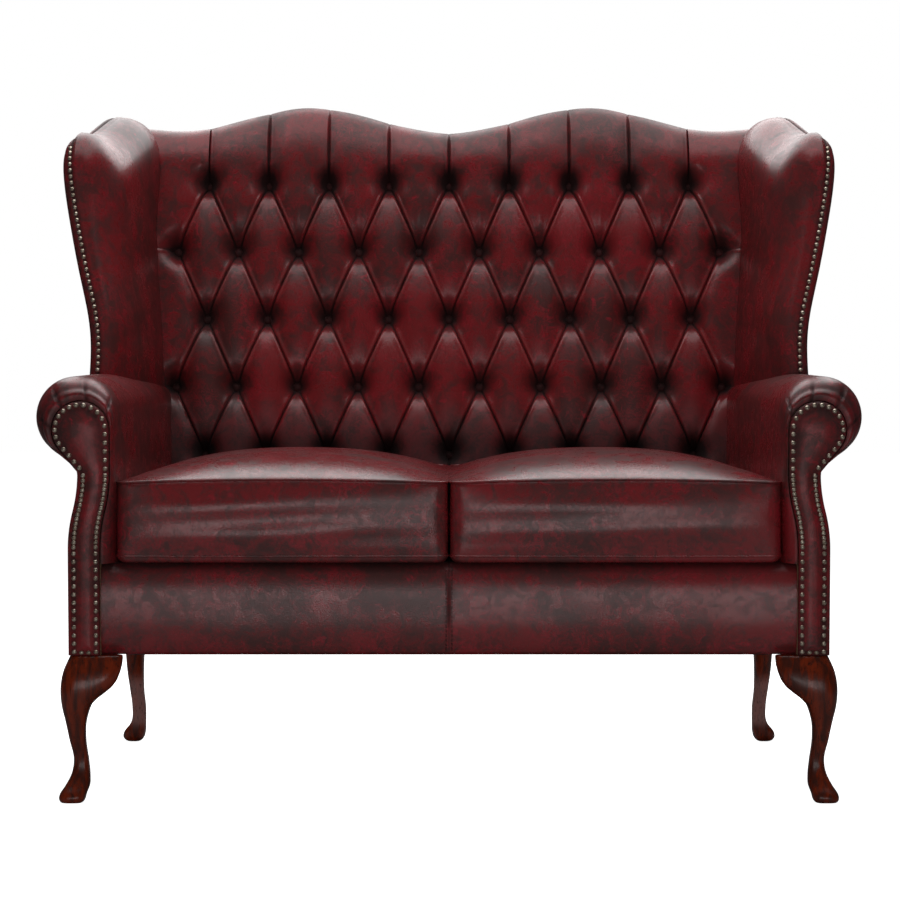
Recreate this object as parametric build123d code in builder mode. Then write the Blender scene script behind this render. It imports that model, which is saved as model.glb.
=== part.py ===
from build123d import *
import math
import os

os.makedirs("parts", exist_ok=True)

# Millimetres. +X runs to the right seen from the front, +Y to the back, +Z up from the floor.
depth = 830.0                # front toe to the back of the crest
leg_height = 225.0           # floor to the underside of the seat frame
rake = 13.0                  # lean of the back from upright, degrees
fit = 0.3                    # gap left where padded pieces meet

# Seat frame and suspension
rail_height = 90.0
rail_thickness = 28.0
side_rail_thickness = 32.0
centre_rail_width = 32.0
webbing_thickness = 3.0
webbing_width = 50.0
seat_straps = 9
deck_thickness = 48.0
dust_cover_thickness = 1.5
corner_block_leg = 80.0
corner_block_height = 40.0

# Front of the sofa, measured back from the toes
toe_reach = 16.0             # toes ahead of the scroll facings
facing_thickness = 10.0
post_thickness = 45.0
border_setback = 18.0        # front border behind the facings
border_padding = 14.0
border_bulge = 8.0

# Arms, half widths from the middle of the sofa
arm_half_width = 637.0
arm_height = 652.0
roll_radius = 62.0
roll_inner_radius = 58.0
roll_wrap = 62.0             # how far the roll turns under, degrees below level
arm_thickness = 65.5         # inner face of the arm to the outer edge of the facing, at the post
arm_toe_in = 30.0            # the inner face comes in by this much towards the back
arm_taper_length = 590.0
arm_core_inset = 33.5        # hollow inside the arm, from the outer edge of the facing
nose_drop = 22.0             # the roll is smaller at its front end
nose_shrink = 12.0
arm_rail_size = 40.0
outside_thickness = 4.0

# Scroll facing
roll_overhang = 58.5         # arm roll beyond the outer edge of the facing
facing_width = 44.0
neck_shift = 15.0            # sideways step of the S curve below the scroll
neck_length = 117.0           # height of the S curve
scroll_radius = 43.5
scroll_height = 571.0
scroll_drop = 66.0           # centre of the scroll down to the top of the S curve
scroll_under = 41.0          # where the underside leaves the scroll, degrees below level
nail_margin = 5.5
nail_radius = 3.7
nail_height = 2.6
nail_pitch = 15.5
nail_pitch_foot = 12.0       # along the bottom of the facings
nail_pitch_close = 8.0       # nails sit closer on the S curve

# Back
back_board = 25.0
upright_width = 55.0
upright_inset = 16.5         # uprights inside the outer edge of the facings
crest_rail_depth = 70.0
tacking_rail_height = 50.0
tacking_rail_rise = 175.0
back_strap_count = 4
outside_back_thickness = 5.0
crest_hump = 918.0           # heights along the rake, from the underside of the frame
crest_dip = 868.0
crest_side = 873.0
crest_corner = 880.0
hump_at = 246.0              # half width of the crest's high points
side_dip_inset = 46.0        # the crest's low points, from the sides of the padding
crest_cover = 8.0            # padding above the crest rail
pad_arm_gap = 5.0            # padding inside the arms at the seat
pad_wing_gap = 15.0          # and inside the wings at the crest

# Buttoning of the back
button_side_gap = 43.75      # end buttons of the longer rows, from the sides of the padding
button_row_pitch = 121.6
button_top_row = 767.0
button_rows = 5
button_radius = 11.0
button_seat_lift = 2.1       # clear of the steep sides of the pit
button_rim_lift = 0.8        # a little more beside the half panels
button_seat_depth = 14.2
button_crown = 4.0
pad_crown = 70.0             # highest padding over the back frame
pad_reach = 72.0             # space kept free for it
side_lift = 60.0             # control heights of the narrow panels along the sides
ridge_lift = 77.0            # and of the half panels along the crest and the seat
shoulder_lift = 58.0
pad_pit = 30.0               # padding left under a button
pleat_rise = 24.0
pad_edge = 34.0
pad_edge_crown = 44.0

# Wings
wing_splay = 4.6             # degrees outwards towards the front
wing_lean = 6.4              # degrees outwards towards the top
wing_inset = 40.5            # wing boards inside the outer edge of the facings, on top of the arm rail
wing_board = 18.0
wing_outside_thickness = 5.0
wing_pad_back = 50.0
wing_pad_front = 14.0
wing_lip = 10.0
wing_foot_length = 351.0
wing_shoulder_length = 262.0
wing_shoulder_height = 453.0
wing_back_height = 508.0
wing_corner_radius = 58.0
wing_nail_lift = 0.2
wing_nail_pitch = 10.75

# Seat cushions
cushion_height = 126.0
cushion_crown = 33.0
cushion_front_overhang = 6.0
cushion_gap = 3.0
cushion_bulge = 5.0
cushion_draw = 3.0           # how far the sides pull in between the corners
cushion_skin = 8.0

# Legs
leg_inset = 26.5             # middle of the front legs inside the outer edge of the facings
leg_setback = 46.0           # the same behind the toes
leg_top_size = 60.0
leg_sweep = 26.0             # how far a front foot swings out, sideways and forwards
ear_length = 52.0
ear_curl = 40.0
ear_step = 18.0
ear_run = 40.0
ear_shoulder = 44.0
ear_drop = 60.0
ear_foot = 66.0
rear_leg_inset = 30.5
rear_leg_lead = 6.0          # rear legs ahead of their bolts
rear_leg_top_size = 44.0
rear_leg_sweep = 50.0        # how far a rear foot swings back
bolt_radius = 4.0
bolt_grip = 40.0
bolt_play = 0.3

# Places that follow from the sizes above
facing_outer = arm_half_width - roll_overhang
seat_half_front = facing_outer - arm_thickness
seat_half_back = seat_half_front - arm_toe_in
arm_padding_core = facing_outer - arm_core_inset
upright_outer = facing_outer - upright_inset
wing_root = facing_outer - wing_inset
pad_half_bottom = seat_half_back - pad_arm_gap
pad_half_top = wing_root - pad_wing_gap
side_dip_at = pad_half_top - side_dip_inset
button_pitch = (pad_half_top - button_side_gap) / 4.5
front = -depth / 2
facing_front = front + toe_reach
post_front = facing_front + facing_thickness
post_back = post_front + post_thickness
border_front = facing_front + border_setback
rail_front = border_front + border_padding
rail_back = rail_front + rail_thickness
frame_top = leg_height + rail_height
deck_bottom = frame_top + webbing_thickness
deck_top = deck_bottom + deck_thickness
facing_inner = facing_outer - facing_width
scroll_x = facing_inner - neck_shift + scroll_radius
neck_top = scroll_height - scroll_drop
neck_bottom = neck_top - neck_length
arm_rail_top = scroll_height + arm_rail_size / 2
leg_half_x = facing_outer - leg_inset
rear_leg_half_x = facing_outer - rear_leg_inset
sin_rake = math.sin(math.radians(rake))
cos_rake = math.cos(math.radians(rake))
back_build = back_board + outside_back_thickness
back_y = depth / 2 - crest_hump * sin_rake - back_build * cos_rake
crest_rail_bottom = crest_side - crest_rail_depth

back_plane = Plane(origin=(0, back_y, leg_height), x_dir=(1, 0, 0), z_dir=(0, -cos_rake, sin_rake))
frame_base = Plane.XY.offset(leg_height)
below_base = -back_build     # the raked boards start lower and are cut level with the frame


def on_back(u, v, w):
    """Point at half width u, height v along the rake and w forward of the back frame."""
    return Vector(u, back_y + v * sin_rake - w * cos_rake, leg_height + v * cos_rake + w * sin_rake)


def back_face_y(z, w):
    """Depth of the plane w forward of the back frame, at height z."""
    v = (z - leg_height - w * sin_rake) / cos_rake
    return back_y + v * sin_rake - w * cos_rake


def up_rake(z):
    """Height along the rake of a point of the back frame's front at height z."""
    return (z - leg_height) / cos_rake


def arm_inner(y):
    """Half width of the arm's inner face at depth y."""
    return seat_half_front - (seat_half_front - seat_half_back) * (y - post_front) / arm_taper_length


def save(builder, name):
    builder.part.label = name
    export_step(builder.part, f"parts/{name}.step")


def save_pair(right, name):
    """Write a right-hand piece and its mirror image."""
    with BuildPart() as left:
        mirror(right.part, about=Plane.YZ)
    save(left, f"{name}_left")
    save(right, f"{name}_right")


# Seat frame
with BuildPart() as front_rail:
    with BuildSketch(Plane.XY.offset(leg_height)):
        with Locations((0, rail_front + rail_thickness / 2)):
            Rectangle(2 * facing_inner, rail_thickness)
    extrude(amount=rail_height)
save(front_rail, "front_seat_rail")

with BuildPart() as back_rail:
    with BuildSketch(back_plane):
        with Locations((0, below_base)):
            Rectangle(
                2 * (upright_outer - upright_width),
                rail_height / cos_rake - below_base,
                align=(Align.CENTER, Align.MIN),
            )
    extrude(amount=-back_board)
    split(bisect_by=frame_base, keep=Keep.TOP)
save(back_rail, "back_seat_rail")

side_rail_inner = facing_outer - side_rail_thickness
with BuildPart() as side_rail:
    with BuildSketch(Plane.XY.offset(leg_height)):
        with Locations((facing_outer, post_back)):
            Rectangle(side_rail_thickness, depth, align=(Align.MAX, Align.MIN))
    extrude(amount=rail_height)
    split(bisect_by=back_plane, keep=Keep.TOP)
save_pair(side_rail, "side_seat_rail")

with BuildPart() as centre_rail:
    with BuildSketch(Plane.XY.offset(leg_height + dust_cover_thickness)):
        with Locations((0, rail_back)):
            Rectangle(centre_rail_width, depth, align=(Align.CENTER, Align.MIN))
    extrude(amount=rail_height - 2 * dust_cover_thickness)
    split(bisect_by=back_plane, keep=Keep.TOP)
save(centre_rail, "centre_seat_rail")

with BuildPart() as corner_blocks:
    block_back = back_face_y(leg_height, 0)
    for side in (-1, 1):
        with BuildSketch(Plane.XY.offset(leg_height)):
            with BuildLine():
                Polyline(
                    (side * facing_inner, rail_back),
                    (side * (facing_inner - corner_block_leg), rail_back),
                    (side * facing_inner, rail_back + corner_block_leg),
                    close=True,
                )
            make_face()
            with BuildLine():
                Polyline(
                    (side * side_rail_inner, block_back),
                    (side * (side_rail_inner - corner_block_leg), block_back),
                    (side * side_rail_inner, block_back - corner_block_leg),
                    close=True,
                )
            make_face()
        extrude(amount=corner_block_height)
save(corner_blocks, "corner_blocks")

# Leg bolts: vertical through the legs into the arm posts and the back uprights
front_bolt = (facing_outer - facing_width / 2, (post_front + post_back) / 2)
rear_bolt_y = (back_face_y(leg_height + bolt_grip, 0) + back_face_y(leg_height, -back_board)) / 2
rear_bolt = (rear_leg_half_x, rear_bolt_y)
bolt_places = [(side * x, y) for side in (-1, 1) for x, y in (front_bolt, rear_bolt)]

with BuildPart() as leg_bolts:
    with BuildSketch(Plane.XY.offset(leg_height - bolt_grip)):
        with Locations(*bolt_places):
            Circle(bolt_radius)
    extrude(amount=2 * bolt_grip - bolt_play)
save(leg_bolts, "leg_bolts")

with BuildPart() as bolt_holes:
    with BuildSketch(Plane.XY.offset(leg_height - bolt_grip)):
        with Locations(*bolt_places):
            Circle(bolt_radius + bolt_play)
    extrude(amount=2 * bolt_grip)


# Arm posts and scroll facings share one outline: a straight band, an S curve and a round scroll
def facing_outline():
    turn = math.radians(scroll_under)
    under = (scroll_x + scroll_radius * math.cos(turn), scroll_height - scroll_radius * math.sin(turn))
    outer_neck = (facing_outer - neck_shift, neck_top)
    inner_neck = (facing_inner - neck_shift, neck_top)
    outer_mid = (facing_outer - neck_shift / 2, (neck_bottom + neck_top) / 2)
    inner_mid = (facing_inner - neck_shift / 2, (neck_bottom + neck_top) / 2)
    Line((facing_inner, leg_height), (facing_outer, leg_height))
    Line((facing_outer, leg_height), (facing_outer, neck_bottom))
    lower = TangentArc((facing_outer, neck_bottom), outer_mid, tangent=(0, 1))
    TangentArc(outer_mid, outer_neck, tangent=lower % 1)
    Line(outer_neck, under)
    crown = (scroll_x, scroll_height + scroll_radius)
    JernArc(under, (math.sin(turn), math.cos(turn)), scroll_radius, 90 + scroll_under)
    RadiusArc(crown, (scroll_x - scroll_radius, scroll_height), -scroll_radius)
    Line((scroll_x - scroll_radius, scroll_height), inner_neck)
    upper = TangentArc(inner_neck, inner_mid, tangent=(0, -1))
    TangentArc(inner_mid, (facing_inner, neck_bottom), tangent=upper % 1)
    Line((facing_inner, neck_bottom), (facing_inner, leg_height))


with BuildPart() as arm_post:
    with BuildSketch(Plane.XZ.offset(-post_back)):
        with BuildLine():
            facing_outline()
        make_face()
    extrude(amount=post_thickness)
    add(bolt_holes.part, mode=Mode.SUBTRACT)
save_pair(arm_post, "arm_post")

with BuildPart() as arm_facing:
    with BuildSketch(Plane.XZ.offset(-post_front)):
        with BuildLine():
            facing_outline()
        make_face()
    extrude(amount=facing_thickness)
save_pair(arm_facing, "arm_facing")

with BuildPart() as arm_rail:
    with BuildSketch(Plane.XZ.offset(-post_back)):
        with Locations((scroll_x, scroll_height)):
            Rectangle(arm_rail_size, arm_rail_size)
    extrude(amount=-depth)
    split(bisect_by=back_plane, keep=Keep.TOP)
save_pair(arm_rail, "arm_top_rail")

# Back frame
splay_tan = math.tan(math.radians(wing_splay))
lean_tan = math.tan(math.radians(wing_lean))
wing_drift = lean_tan / math.cos(math.radians(wing_splay)) * cos_rake - splay_tan * sin_rake
upright_step = wing_root + wing_board - back_board * splay_tan
upright_top = upright_step + wing_drift * (crest_rail_bottom - up_rake(arm_rail_top))
crest_half = upright_step + wing_drift * (crest_corner - up_rake(arm_rail_top))
with BuildPart() as upright:
    with BuildSketch(back_plane):
        with BuildLine():
            Polyline(
                (upright_outer - upright_width, below_base),
                (upright_outer, below_base),
                (upright_outer, up_rake(neck_top)),
                (upright_step, up_rake(arm_rail_top)),
                (upright_top, crest_rail_bottom),
                (upright_top - upright_width, crest_rail_bottom),
                (upright_outer - upright_width, up_rake(arm_rail_top)),
                close=True,
            )
        make_face()
    extrude(amount=-back_board)
    split(bisect_by=frame_base, keep=Keep.TOP)
    add(bolt_holes.part, mode=Mode.SUBTRACT)
save_pair(upright, "back_upright")

with BuildPart() as tacking_rail:
    with BuildSketch(back_plane):
        with Locations((0, tacking_rail_rise)):
            Rectangle(2 * (upright_outer - upright_width), tacking_rail_height)
    extrude(amount=-back_board)
save(tacking_rail, "back_tacking_rail")

centre_bottom = tacking_rail_rise + tacking_rail_height / 2
with BuildPart() as centre_upright:
    with BuildSketch(back_plane):
        with Locations((0, centre_bottom)):
            Rectangle(upright_width, crest_rail_bottom - centre_bottom, align=(Align.CENTER, Align.MIN))
    extrude(amount=-back_board)
save(centre_upright, "back_centre_upright")

# The crest runs low, high, low, high, low between turning points with level tangents
crest_turns = [(0.0, crest_dip), (hump_at, crest_hump), (side_dip_at, crest_side), (crest_half, crest_corner)]


def crest(u):
    """Height of the crest along the rake at half width u, and its slope."""
    spans = list(zip(crest_turns, crest_turns[1:]))
    for (u0, v0), (u1, v1) in spans:
        if abs(u) <= u1 or u1 == crest_half:
            t = min((abs(u) - u0) / (u1 - u0), 1.0)
            slope = 6 * t * (1 - t) * (v1 - v0) / (u1 - u0)
            return v0 + (3 * t * t - 2 * t * t * t) * (v1 - v0), math.copysign(slope, u * (v1 - v0))


def crest_line(drop):
    """Crest edges from the left corner to the right corner, lowered by drop."""
    half = [(u, v - drop) for u, v in crest_turns]
    turns = [(-u, v) for u, v in half[:0:-1]] + half
    for (u0, v0), (u1, v1) in zip(turns, turns[1:]):
        third = (u1 - u0) / 3
        Bezier((u0, v0), (u0 + third, v0), (u1 - third, v1), (u1, v1))


with BuildPart() as crest_rail:
    with BuildSketch(back_plane):
        with BuildLine():
            crest_line(crest_cover)
            Polyline(
                (crest_half, crest_corner - crest_cover),
                (upright_top, crest_rail_bottom),
                (-upright_top, crest_rail_bottom),
                (-crest_half, crest_corner - crest_cover),
            )
        make_face()
    extrude(amount=-back_board)
save(crest_rail, "crest_rail")

outside_half = facing_outer + outside_thickness
neck_half = facing_outer - neck_shift + outside_thickness
with BuildPart() as outside_back:
    with BuildSketch(back_plane.offset(-back_board)):
        with BuildLine():
            crest_line(0.0)
            for side in (-1, 1):
                Polyline(
                    (side * crest_half, crest_corner),
                    (side * (crest_half + wing_outside_thickness), crest_corner),
                    (side * (upright_step + wing_outside_thickness), up_rake(arm_rail_top)),
                    (side * neck_half, up_rake(neck_top)),
                    (side * outside_half, up_rake(neck_bottom)),
                    (side * outside_half, below_base),
                    (0, below_base),
                )
        make_face()
    extrude(amount=-outside_back_thickness)
    split(bisect_by=frame_base, keep=Keep.TOP)
save(outside_back, "outside_back")

# Webbing: seat straps from front to back, back straps across
strap_reach = arm_inner(back_y) - webbing_width
with BuildPart() as seat_webbing:
    with BuildSketch(Plane.XY.offset(frame_top)):
        with Locations((0, rail_front)):
            with GridLocations(2 * strap_reach / (seat_straps - 1), 1, seat_straps, 1):
                Rectangle(webbing_width, depth, align=(Align.CENTER, Align.MIN))
    extrude(amount=webbing_thickness)
    split(bisect_by=back_plane, keep=Keep.TOP)
save(seat_webbing, "seat_webbing")

back_strap_bottom = tacking_rail_rise + tacking_rail_height
back_strap_step = (crest_rail_bottom - back_strap_bottom) / back_strap_count
with BuildPart() as back_webbing:
    with BuildSketch(back_plane):
        for strap in range(back_strap_count):
            with Locations((0, back_strap_bottom + back_strap_step * (strap + 0.5))):
                Rectangle(2 * (upright_outer - upright_width / 2), webbing_width)
    extrude(amount=webbing_thickness)
save(back_webbing, "back_webbing")

with BuildPart() as dust_cover:
    cover_back = back_face_y(leg_height, 0)
    with BuildSketch(Plane.XY.offset(leg_height)):
        with Locations((0, rail_front)):
            cover_width = 2 * (leg_half_x - leg_top_size)
            Rectangle(cover_width, cover_back - rail_front, align=(Align.CENTER, Align.MIN))
        with Locations((0, (rail_front + cover_back) / 2)):
            Rectangle(2 * side_rail_inner + side_rail_thickness, cover_back - rail_front - 4 * leg_top_size)
    extrude(amount=-dust_cover_thickness)
save(dust_cover, "dust_cover")


# Wings: a board on the arm rail, splayed and leaning outwards, padded inside and panelled outside
splay_sin = math.sin(math.radians(wing_splay))
splay_cos = math.cos(math.radians(wing_splay))
lean_sin = math.sin(math.radians(wing_lean))
lean_cos = math.cos(math.radians(wing_lean))
wing_plane = Plane(
    origin=(wing_root, back_face_y(arm_rail_top, 0), arm_rail_top),
    x_dir=(splay_sin, -splay_cos, 0),
    z_dir=(-splay_cos * lean_cos, -splay_sin * lean_cos, lean_sin),
)
wing_behind = -200.0


def wing_outline(grow):
    """Closed wing outline: level foot, leaning front edge, rounded shoulder and a top that dips forward."""
    foot = (wing_foot_length + grow, 0)
    shoulder = (wing_shoulder_length + grow, wing_shoulder_height + grow)
    slope = math.hypot(shoulder[0] - foot[0], shoulder[1] - foot[1])
    lean = ((shoulder[0] - foot[0]) / slope, (shoulder[1] - foot[1]) / slope)
    start = (shoulder[0] - lean[0] * wing_corner_radius, shoulder[1] - lean[1] * wing_corner_radius)
    finish = (shoulder[0] - wing_corner_radius, shoulder[1])
    rear = (0.0, wing_back_height + grow)
    third = finish[0] / 3
    edges = [
        Line(foot, start),
        Bezier(start, shoulder, finish),
        Bezier(finish, (finish[0] - third, finish[1]), (rear[0] + third, rear[1]), rear),
    ]
    Polyline(rear, (wing_behind, rear[1]), (wing_behind, 0), foot)
    return edges


with BuildPart() as wing_frame:
    with BuildSketch(wing_plane.offset(-wing_board)):
        with BuildLine():
            wing_outline(0.0)
        make_face()
    extrude(amount=wing_board)
    split(bisect_by=back_plane, keep=Keep.TOP)
    with BuildSketch(Plane.XY.offset(arm_rail_top)):
        Rectangle(4 * wing_root, 4 * wing_root)
    extrude(amount=-depth, mode=Mode.SUBTRACT)
save_pair(wing_frame, "wing_board")


# Arm padding: rolled over the arm rail, thinner at the nose behind the facing
def arm_outline(y, drop, shrink):
    inner = arm_inner(y)
    top = arm_height - drop
    radius = roll_radius - shrink
    centre_x = arm_half_width - roll_radius - shrink / 2
    centre_z = top - radius
    turn = math.radians(roll_wrap)
    leave = (centre_x + radius * math.cos(turn), centre_z - radius * math.sin(turn))
    neck_z = leave[1] - (leave[0] - neck_half) / math.tan(turn)
    crown = (inner + roll_inner_radius, top)
    Line((inner, deck_top), (inner, top - roll_inner_radius))
    RadiusArc((inner, top - roll_inner_radius), crown, roll_inner_radius)
    shoulder = (max(centre_x, crown[0] + 1), top)
    Line(crown, shoulder)
    ThreePointArc(shoulder, (centre_x + radius, centre_z), leave)
    Polyline(
        leave,
        (neck_half, neck_z),
        (arm_padding_core, neck_z),
        (arm_padding_core, deck_top),
        (inner, deck_top),
    )


pad_bottom = (deck_bottom - leg_height - webbing_thickness * sin_rake) / cos_rake


def pad_half(v):
    """Half width of the back padding at height v along the rake."""
    return pad_half_bottom + (pad_half_top - pad_half_bottom) * (v - pad_bottom) / (crest_corner - pad_bottom)


with BuildPart() as back_space:
    with BuildSketch(back_plane):
        with BuildLine():
            Polyline(
                (-pad_half(pad_bottom) - fit, pad_bottom - fit),
                (pad_half(pad_bottom) + fit, pad_bottom - fit),
                (pad_half(crest_hump) + fit, crest_hump),
                (-pad_half(crest_hump) - fit, crest_hump),
                close=True,
            )
        make_face()
    extrude(amount=pad_reach)

with BuildPart() as back_frame_space:
    with BuildSketch(back_plane.offset(webbing_thickness)):
        Rectangle(2 * upright_outer, 2 * crest_hump)
    extrude(amount=-back_board - webbing_thickness)

arm_stations = [(post_front, nose_drop, nose_shrink), (post_back, 0.0, 0.0), (depth / 2, 0.0, 0.0)]
with BuildPart() as arm_pad:
    for near, far in zip(arm_stations, arm_stations[1:]):
        for y, drop, shrink in (near, far):
            with BuildSketch(Plane.XZ.offset(-y)):
                with BuildLine():
                    arm_outline(y, drop, shrink)
                make_face()
        loft(ruled=True)
    split(bisect_by=back_plane.offset(-back_board), keep=Keep.TOP)
    for inner in (arm_post, arm_rail, back_frame_space, wing_frame, back_space):
        add(inner.part, mode=Mode.SUBTRACT)
save_pair(arm_pad, "arm_pad")

with BuildPart() as outside_arm:
    with BuildSketch(Plane.XZ.offset(-post_front)):
        with BuildLine():
            mid_z = (neck_bottom + neck_top) / 2
            for skin in (0.0, outside_thickness):
                Line((facing_outer + skin, leg_height), (facing_outer + skin, neck_bottom))
                lower = TangentArc(
                    (facing_outer + skin, neck_bottom),
                    (facing_outer + skin - neck_shift / 2, mid_z),
                    tangent=(0, 1),
                )
                TangentArc(
                    (facing_outer + skin - neck_shift / 2, mid_z),
                    (facing_outer + skin - neck_shift, neck_top),
                    tangent=lower % 1,
                )
            Line((facing_outer, leg_height), (outside_half, leg_height))
            Polyline(
                (neck_half - outside_thickness, neck_top),
                (neck_half - outside_thickness, scroll_height - arm_rail_size),
                (neck_half, scroll_height - arm_rail_size),
                (neck_half, neck_top),
            )
        make_face()
    extrude(amount=-depth)
    split(bisect_by=back_plane.offset(-back_board), keep=Keep.TOP)
    for inner in (arm_pad, arm_post, upright):
        add(inner.part, mode=Mode.SUBTRACT)
save_pair(outside_arm, "outside_arm")

# Wing padding is thick at the back, thin at the front, and laps round the edge of the board
with BuildPart() as wing_pad:
    with BuildSketch(wing_plane.offset(-wing_board)):
        with BuildLine():
            wing_edges = wing_outline(wing_lip)
        make_face()
    extrude(amount=wing_board + wing_pad_back)
    with BuildSketch(Plane(wing_plane.origin, x_dir=wing_plane.x_dir, z_dir=wing_plane.y_dir).offset(-depth)):
        with BuildLine():
            Polyline(
                (0, -wing_pad_back),
                (wing_foot_length + 2 * wing_lip, -wing_pad_front),
                (wing_foot_length + 2 * wing_lip, -2 * wing_pad_back),
                (0, -2 * wing_pad_back),
                close=True,
            )
        make_face()
    extrude(amount=2 * depth, mode=Mode.SUBTRACT)
    split(bisect_by=back_plane.offset(webbing_thickness), keep=Keep.TOP)
    for inner in (wing_frame, arm_pad, arm_rail, back_space):
        add(inner.part, mode=Mode.SUBTRACT)
save_pair(wing_pad, "wing_pad")

with BuildPart() as outside_wing:
    with BuildSketch(wing_plane.offset(-wing_board)):
        with BuildLine():
            wing_outline(wing_lip)
        make_face()
    extrude(amount=-wing_outside_thickness)
    split(bisect_by=back_plane.offset(-back_board), keep=Keep.TOP)
    for inner in (arm_pad, arm_rail, upright, crest_rail):
        add(inner.part, mode=Mode.SUBTRACT)
save_pair(outside_wing, "outside_wing")

# Front border: padding over the front rail with a swelling face
with BuildPart() as front_border:
    with BuildSketch(Plane.YZ.offset(-facing_inner + fit)):
        with BuildLine():
            ThreePointArc(
                (border_front + border_bulge, leg_height),
                (border_front, (leg_height + deck_top) / 2),
                (border_front + border_bulge, deck_top),
            )
            Polyline(
                (border_front + border_bulge, deck_top),
                (rail_back, deck_top),
                (rail_back, deck_bottom),
                (rail_front, deck_bottom),
                (rail_front, leg_height),
                (border_front + border_bulge, leg_height),
            )
        make_face()
    extrude(amount=2 * (facing_inner - fit))
save(front_border, "front_border")

with BuildPart() as seat_deck:
    with BuildSketch(Plane.XY.offset(deck_bottom)):
        with BuildLine():
            Polyline(
                (arm_padding_core, rail_back),
                (arm_padding_core, depth / 2),
                (-arm_padding_core, depth / 2),
                (-arm_padding_core, rail_back),
                close=True,
            )
        make_face()
    extrude(amount=deck_thickness)
    split(bisect_by=back_plane.offset(pad_reach), keep=Keep.TOP)
save(seat_deck, "seat_deck")


# Deep-buttoned back: a net of curved panels pulled down at the buttons and along the pleats
def button_at(row, column):
    count = 9 if row % 2 == 0 else 10
    return button_pitch * (column - (count - 1) / 2), button_top_row - button_row_pitch * row


def net_point(node):
    """Place of a named corner of the net: half width, height along the rake, padding height."""
    kind, a, b = node
    if kind == "button":
        u, v = button_at(a, b)
        return u, v, pad_pit
    if kind == "crest":
        u = button_at(0, 0)[0] + button_pitch * a
        return u, crest(u)[0], pad_edge if a == int(a) else pad_edge_crown
    if kind == "corner":
        return a * pad_half(crest_corner), crest(pad_half_top)[0], pad_edge
    if kind == "side":
        v = button_at(b, 0)[1]
        return a * pad_half(v), v, pad_edge if b % 2 else pad_edge_crown
    if kind == "foot":
        u = button_at(4, 0)[0] + button_pitch * a
        return u, pad_bottom, pad_edge_crown
    return a * pad_half(pad_bottom), pad_bottom, pad_edge_crown


def net_edge(start, end):
    """Four control points from one corner of the net to the next."""
    if end < start:
        return net_edge(end, start)[::-1]
    p = net_point(start)
    q = net_point(end)
    points = [[a + (b - a) * step / 3 for a, b in zip(p, q)] for step in range(4)]
    kinds = {start[0], end[0]}
    if kinds <= {"crest", "corner"}:
        for point, here, sign in ((points[1], p, 1), (points[2], q, -1)):
            point[1] = here[1] + sign * crest(here[0])[1] * (q[0] - p[0]) / 3
        return points
    if "button" not in kinds:
        return points
    rim = start if start[0] != "button" else end
    pleated = kinds == {"button"}
    pleated = pleated or (rim[0] in ("crest", "foot") and rim[1] == int(rim[1]))
    pleated = pleated or (rim[0] == "side" and rim[2] % 2 == 1)
    short = min(1.0, math.dist(p[:2], q[:2]) / math.hypot(button_pitch / 2, button_row_pitch))
    for point, near in ((points[1], start), (points[2], end)):
        if pleated:
            gentle = rim[0] in ("crest", "foot") and near[0] == "button"
            point[2] += pleat_rise * short * (0.2 if gentle else 1.0)
        else:
            point[2] = side_lift if rim[0] == "side" else ridge_lift
    return points


panel_lift = (64 * pad_crown - 4 * pad_pit - 24 * (pad_pit + pleat_rise)) / 36


def net_patch(corners):
    """Curved panel through four corners of the net, with its padding lifted in the middle."""
    a, b, c, d = corners
    low = net_edge(a, b)
    high = net_edge(d, c)
    left = net_edge(a, d)
    right = net_edge(b, c)
    lifts = [panel_lift, panel_lift]
    if a[0] in ("side", "corner", "base"):
        lifts = [side_lift, side_lift]
    if a[0] in ("crest", "foot"):
        lifts = [shoulder_lift, ridge_lift] if a[1] == int(a[1]) else [ridge_lift, shoulder_lift]
    grid = [low, None, None, high]
    for i in (1, 2):
        row = [left[i]]
        for j in (1, 2):
            s = j / 3
            t = i / 3
            place = []
            for k in (0, 1):
                across = left[i][k] * (1 - s) + right[i][k] * s
                along = low[j][k] * (1 - t) + high[j][k] * t
                flat_low = low[0][k] * (1 - s) + low[3][k] * s
                flat_high = high[0][k] * (1 - s) + high[3][k] * s
                place.append(across + along - flat_low * (1 - t) - flat_high * t)
            row.append(place + [lifts[j - 1]])
        grid[i] = row + [right[i]]
    return Face.make_bezier_surface([[on_back(*point) for point in row] for row in grid])


panels = []
for row in range(button_rows - 2):
    for column in range(9 if row % 2 == 0 else 8):
        top = ("button", row, column + row % 2)
        panels.append((top, ("button", row + 1, column), ("button", row + 2, column + row % 2),
                       ("button", row + 1, column + 1)))
for column in range(8):
    under = ("button", 1, column + 1)
    over = ("button", 3, column + 1)
    for first in (column, column + 0.5):
        second = first + 0.5
        left_top = ("button", 0, column) if first == column else under
        right_top = under if first == column else ("button", 0, column + 1)
        panels.append((("crest", first, 0), ("crest", second, 0), right_top, left_top))
        left_foot = ("button", 4, column) if first == column else over
        right_foot = over if first == column else ("button", 4, column + 1)
        panels.append((("foot", first, 0), ("foot", second, 0), right_foot, left_foot))
rim_chain = [("foot", step / 2, 0) for step in range(17)] + [("base", 1, 0)]
rim_chain += [("side", 1, row) for row in range(button_rows - 1, -1, -1)] + [("corner", 1, 0)]
rim_chain += [("crest", step / 2, 0) for step in range(16, -1, -1)] + [("corner", -1, 0)]
rim_chain += [("side", -1, row) for row in range(button_rows)] + [("base", -1, 0)]
for side in (-1, 1):
    ends = [("button", row, 0 if side < 0 else 8 + row % 2) for row in range(button_rows)]
    rims = [("side", side, row) for row in range(button_rows)]
    last = 0.0 if side < 0 else 8.0
    ends = [("crest", last, 0)] + ends + [("foot", last, 0)]
    rims = [("corner", side, 0)] + rims + [("base", side, 0)]
    for step in range(len(ends) - 1):
        panels.append((rims[step], ends[step], ends[step + 1], rims[step + 1]))

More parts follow.
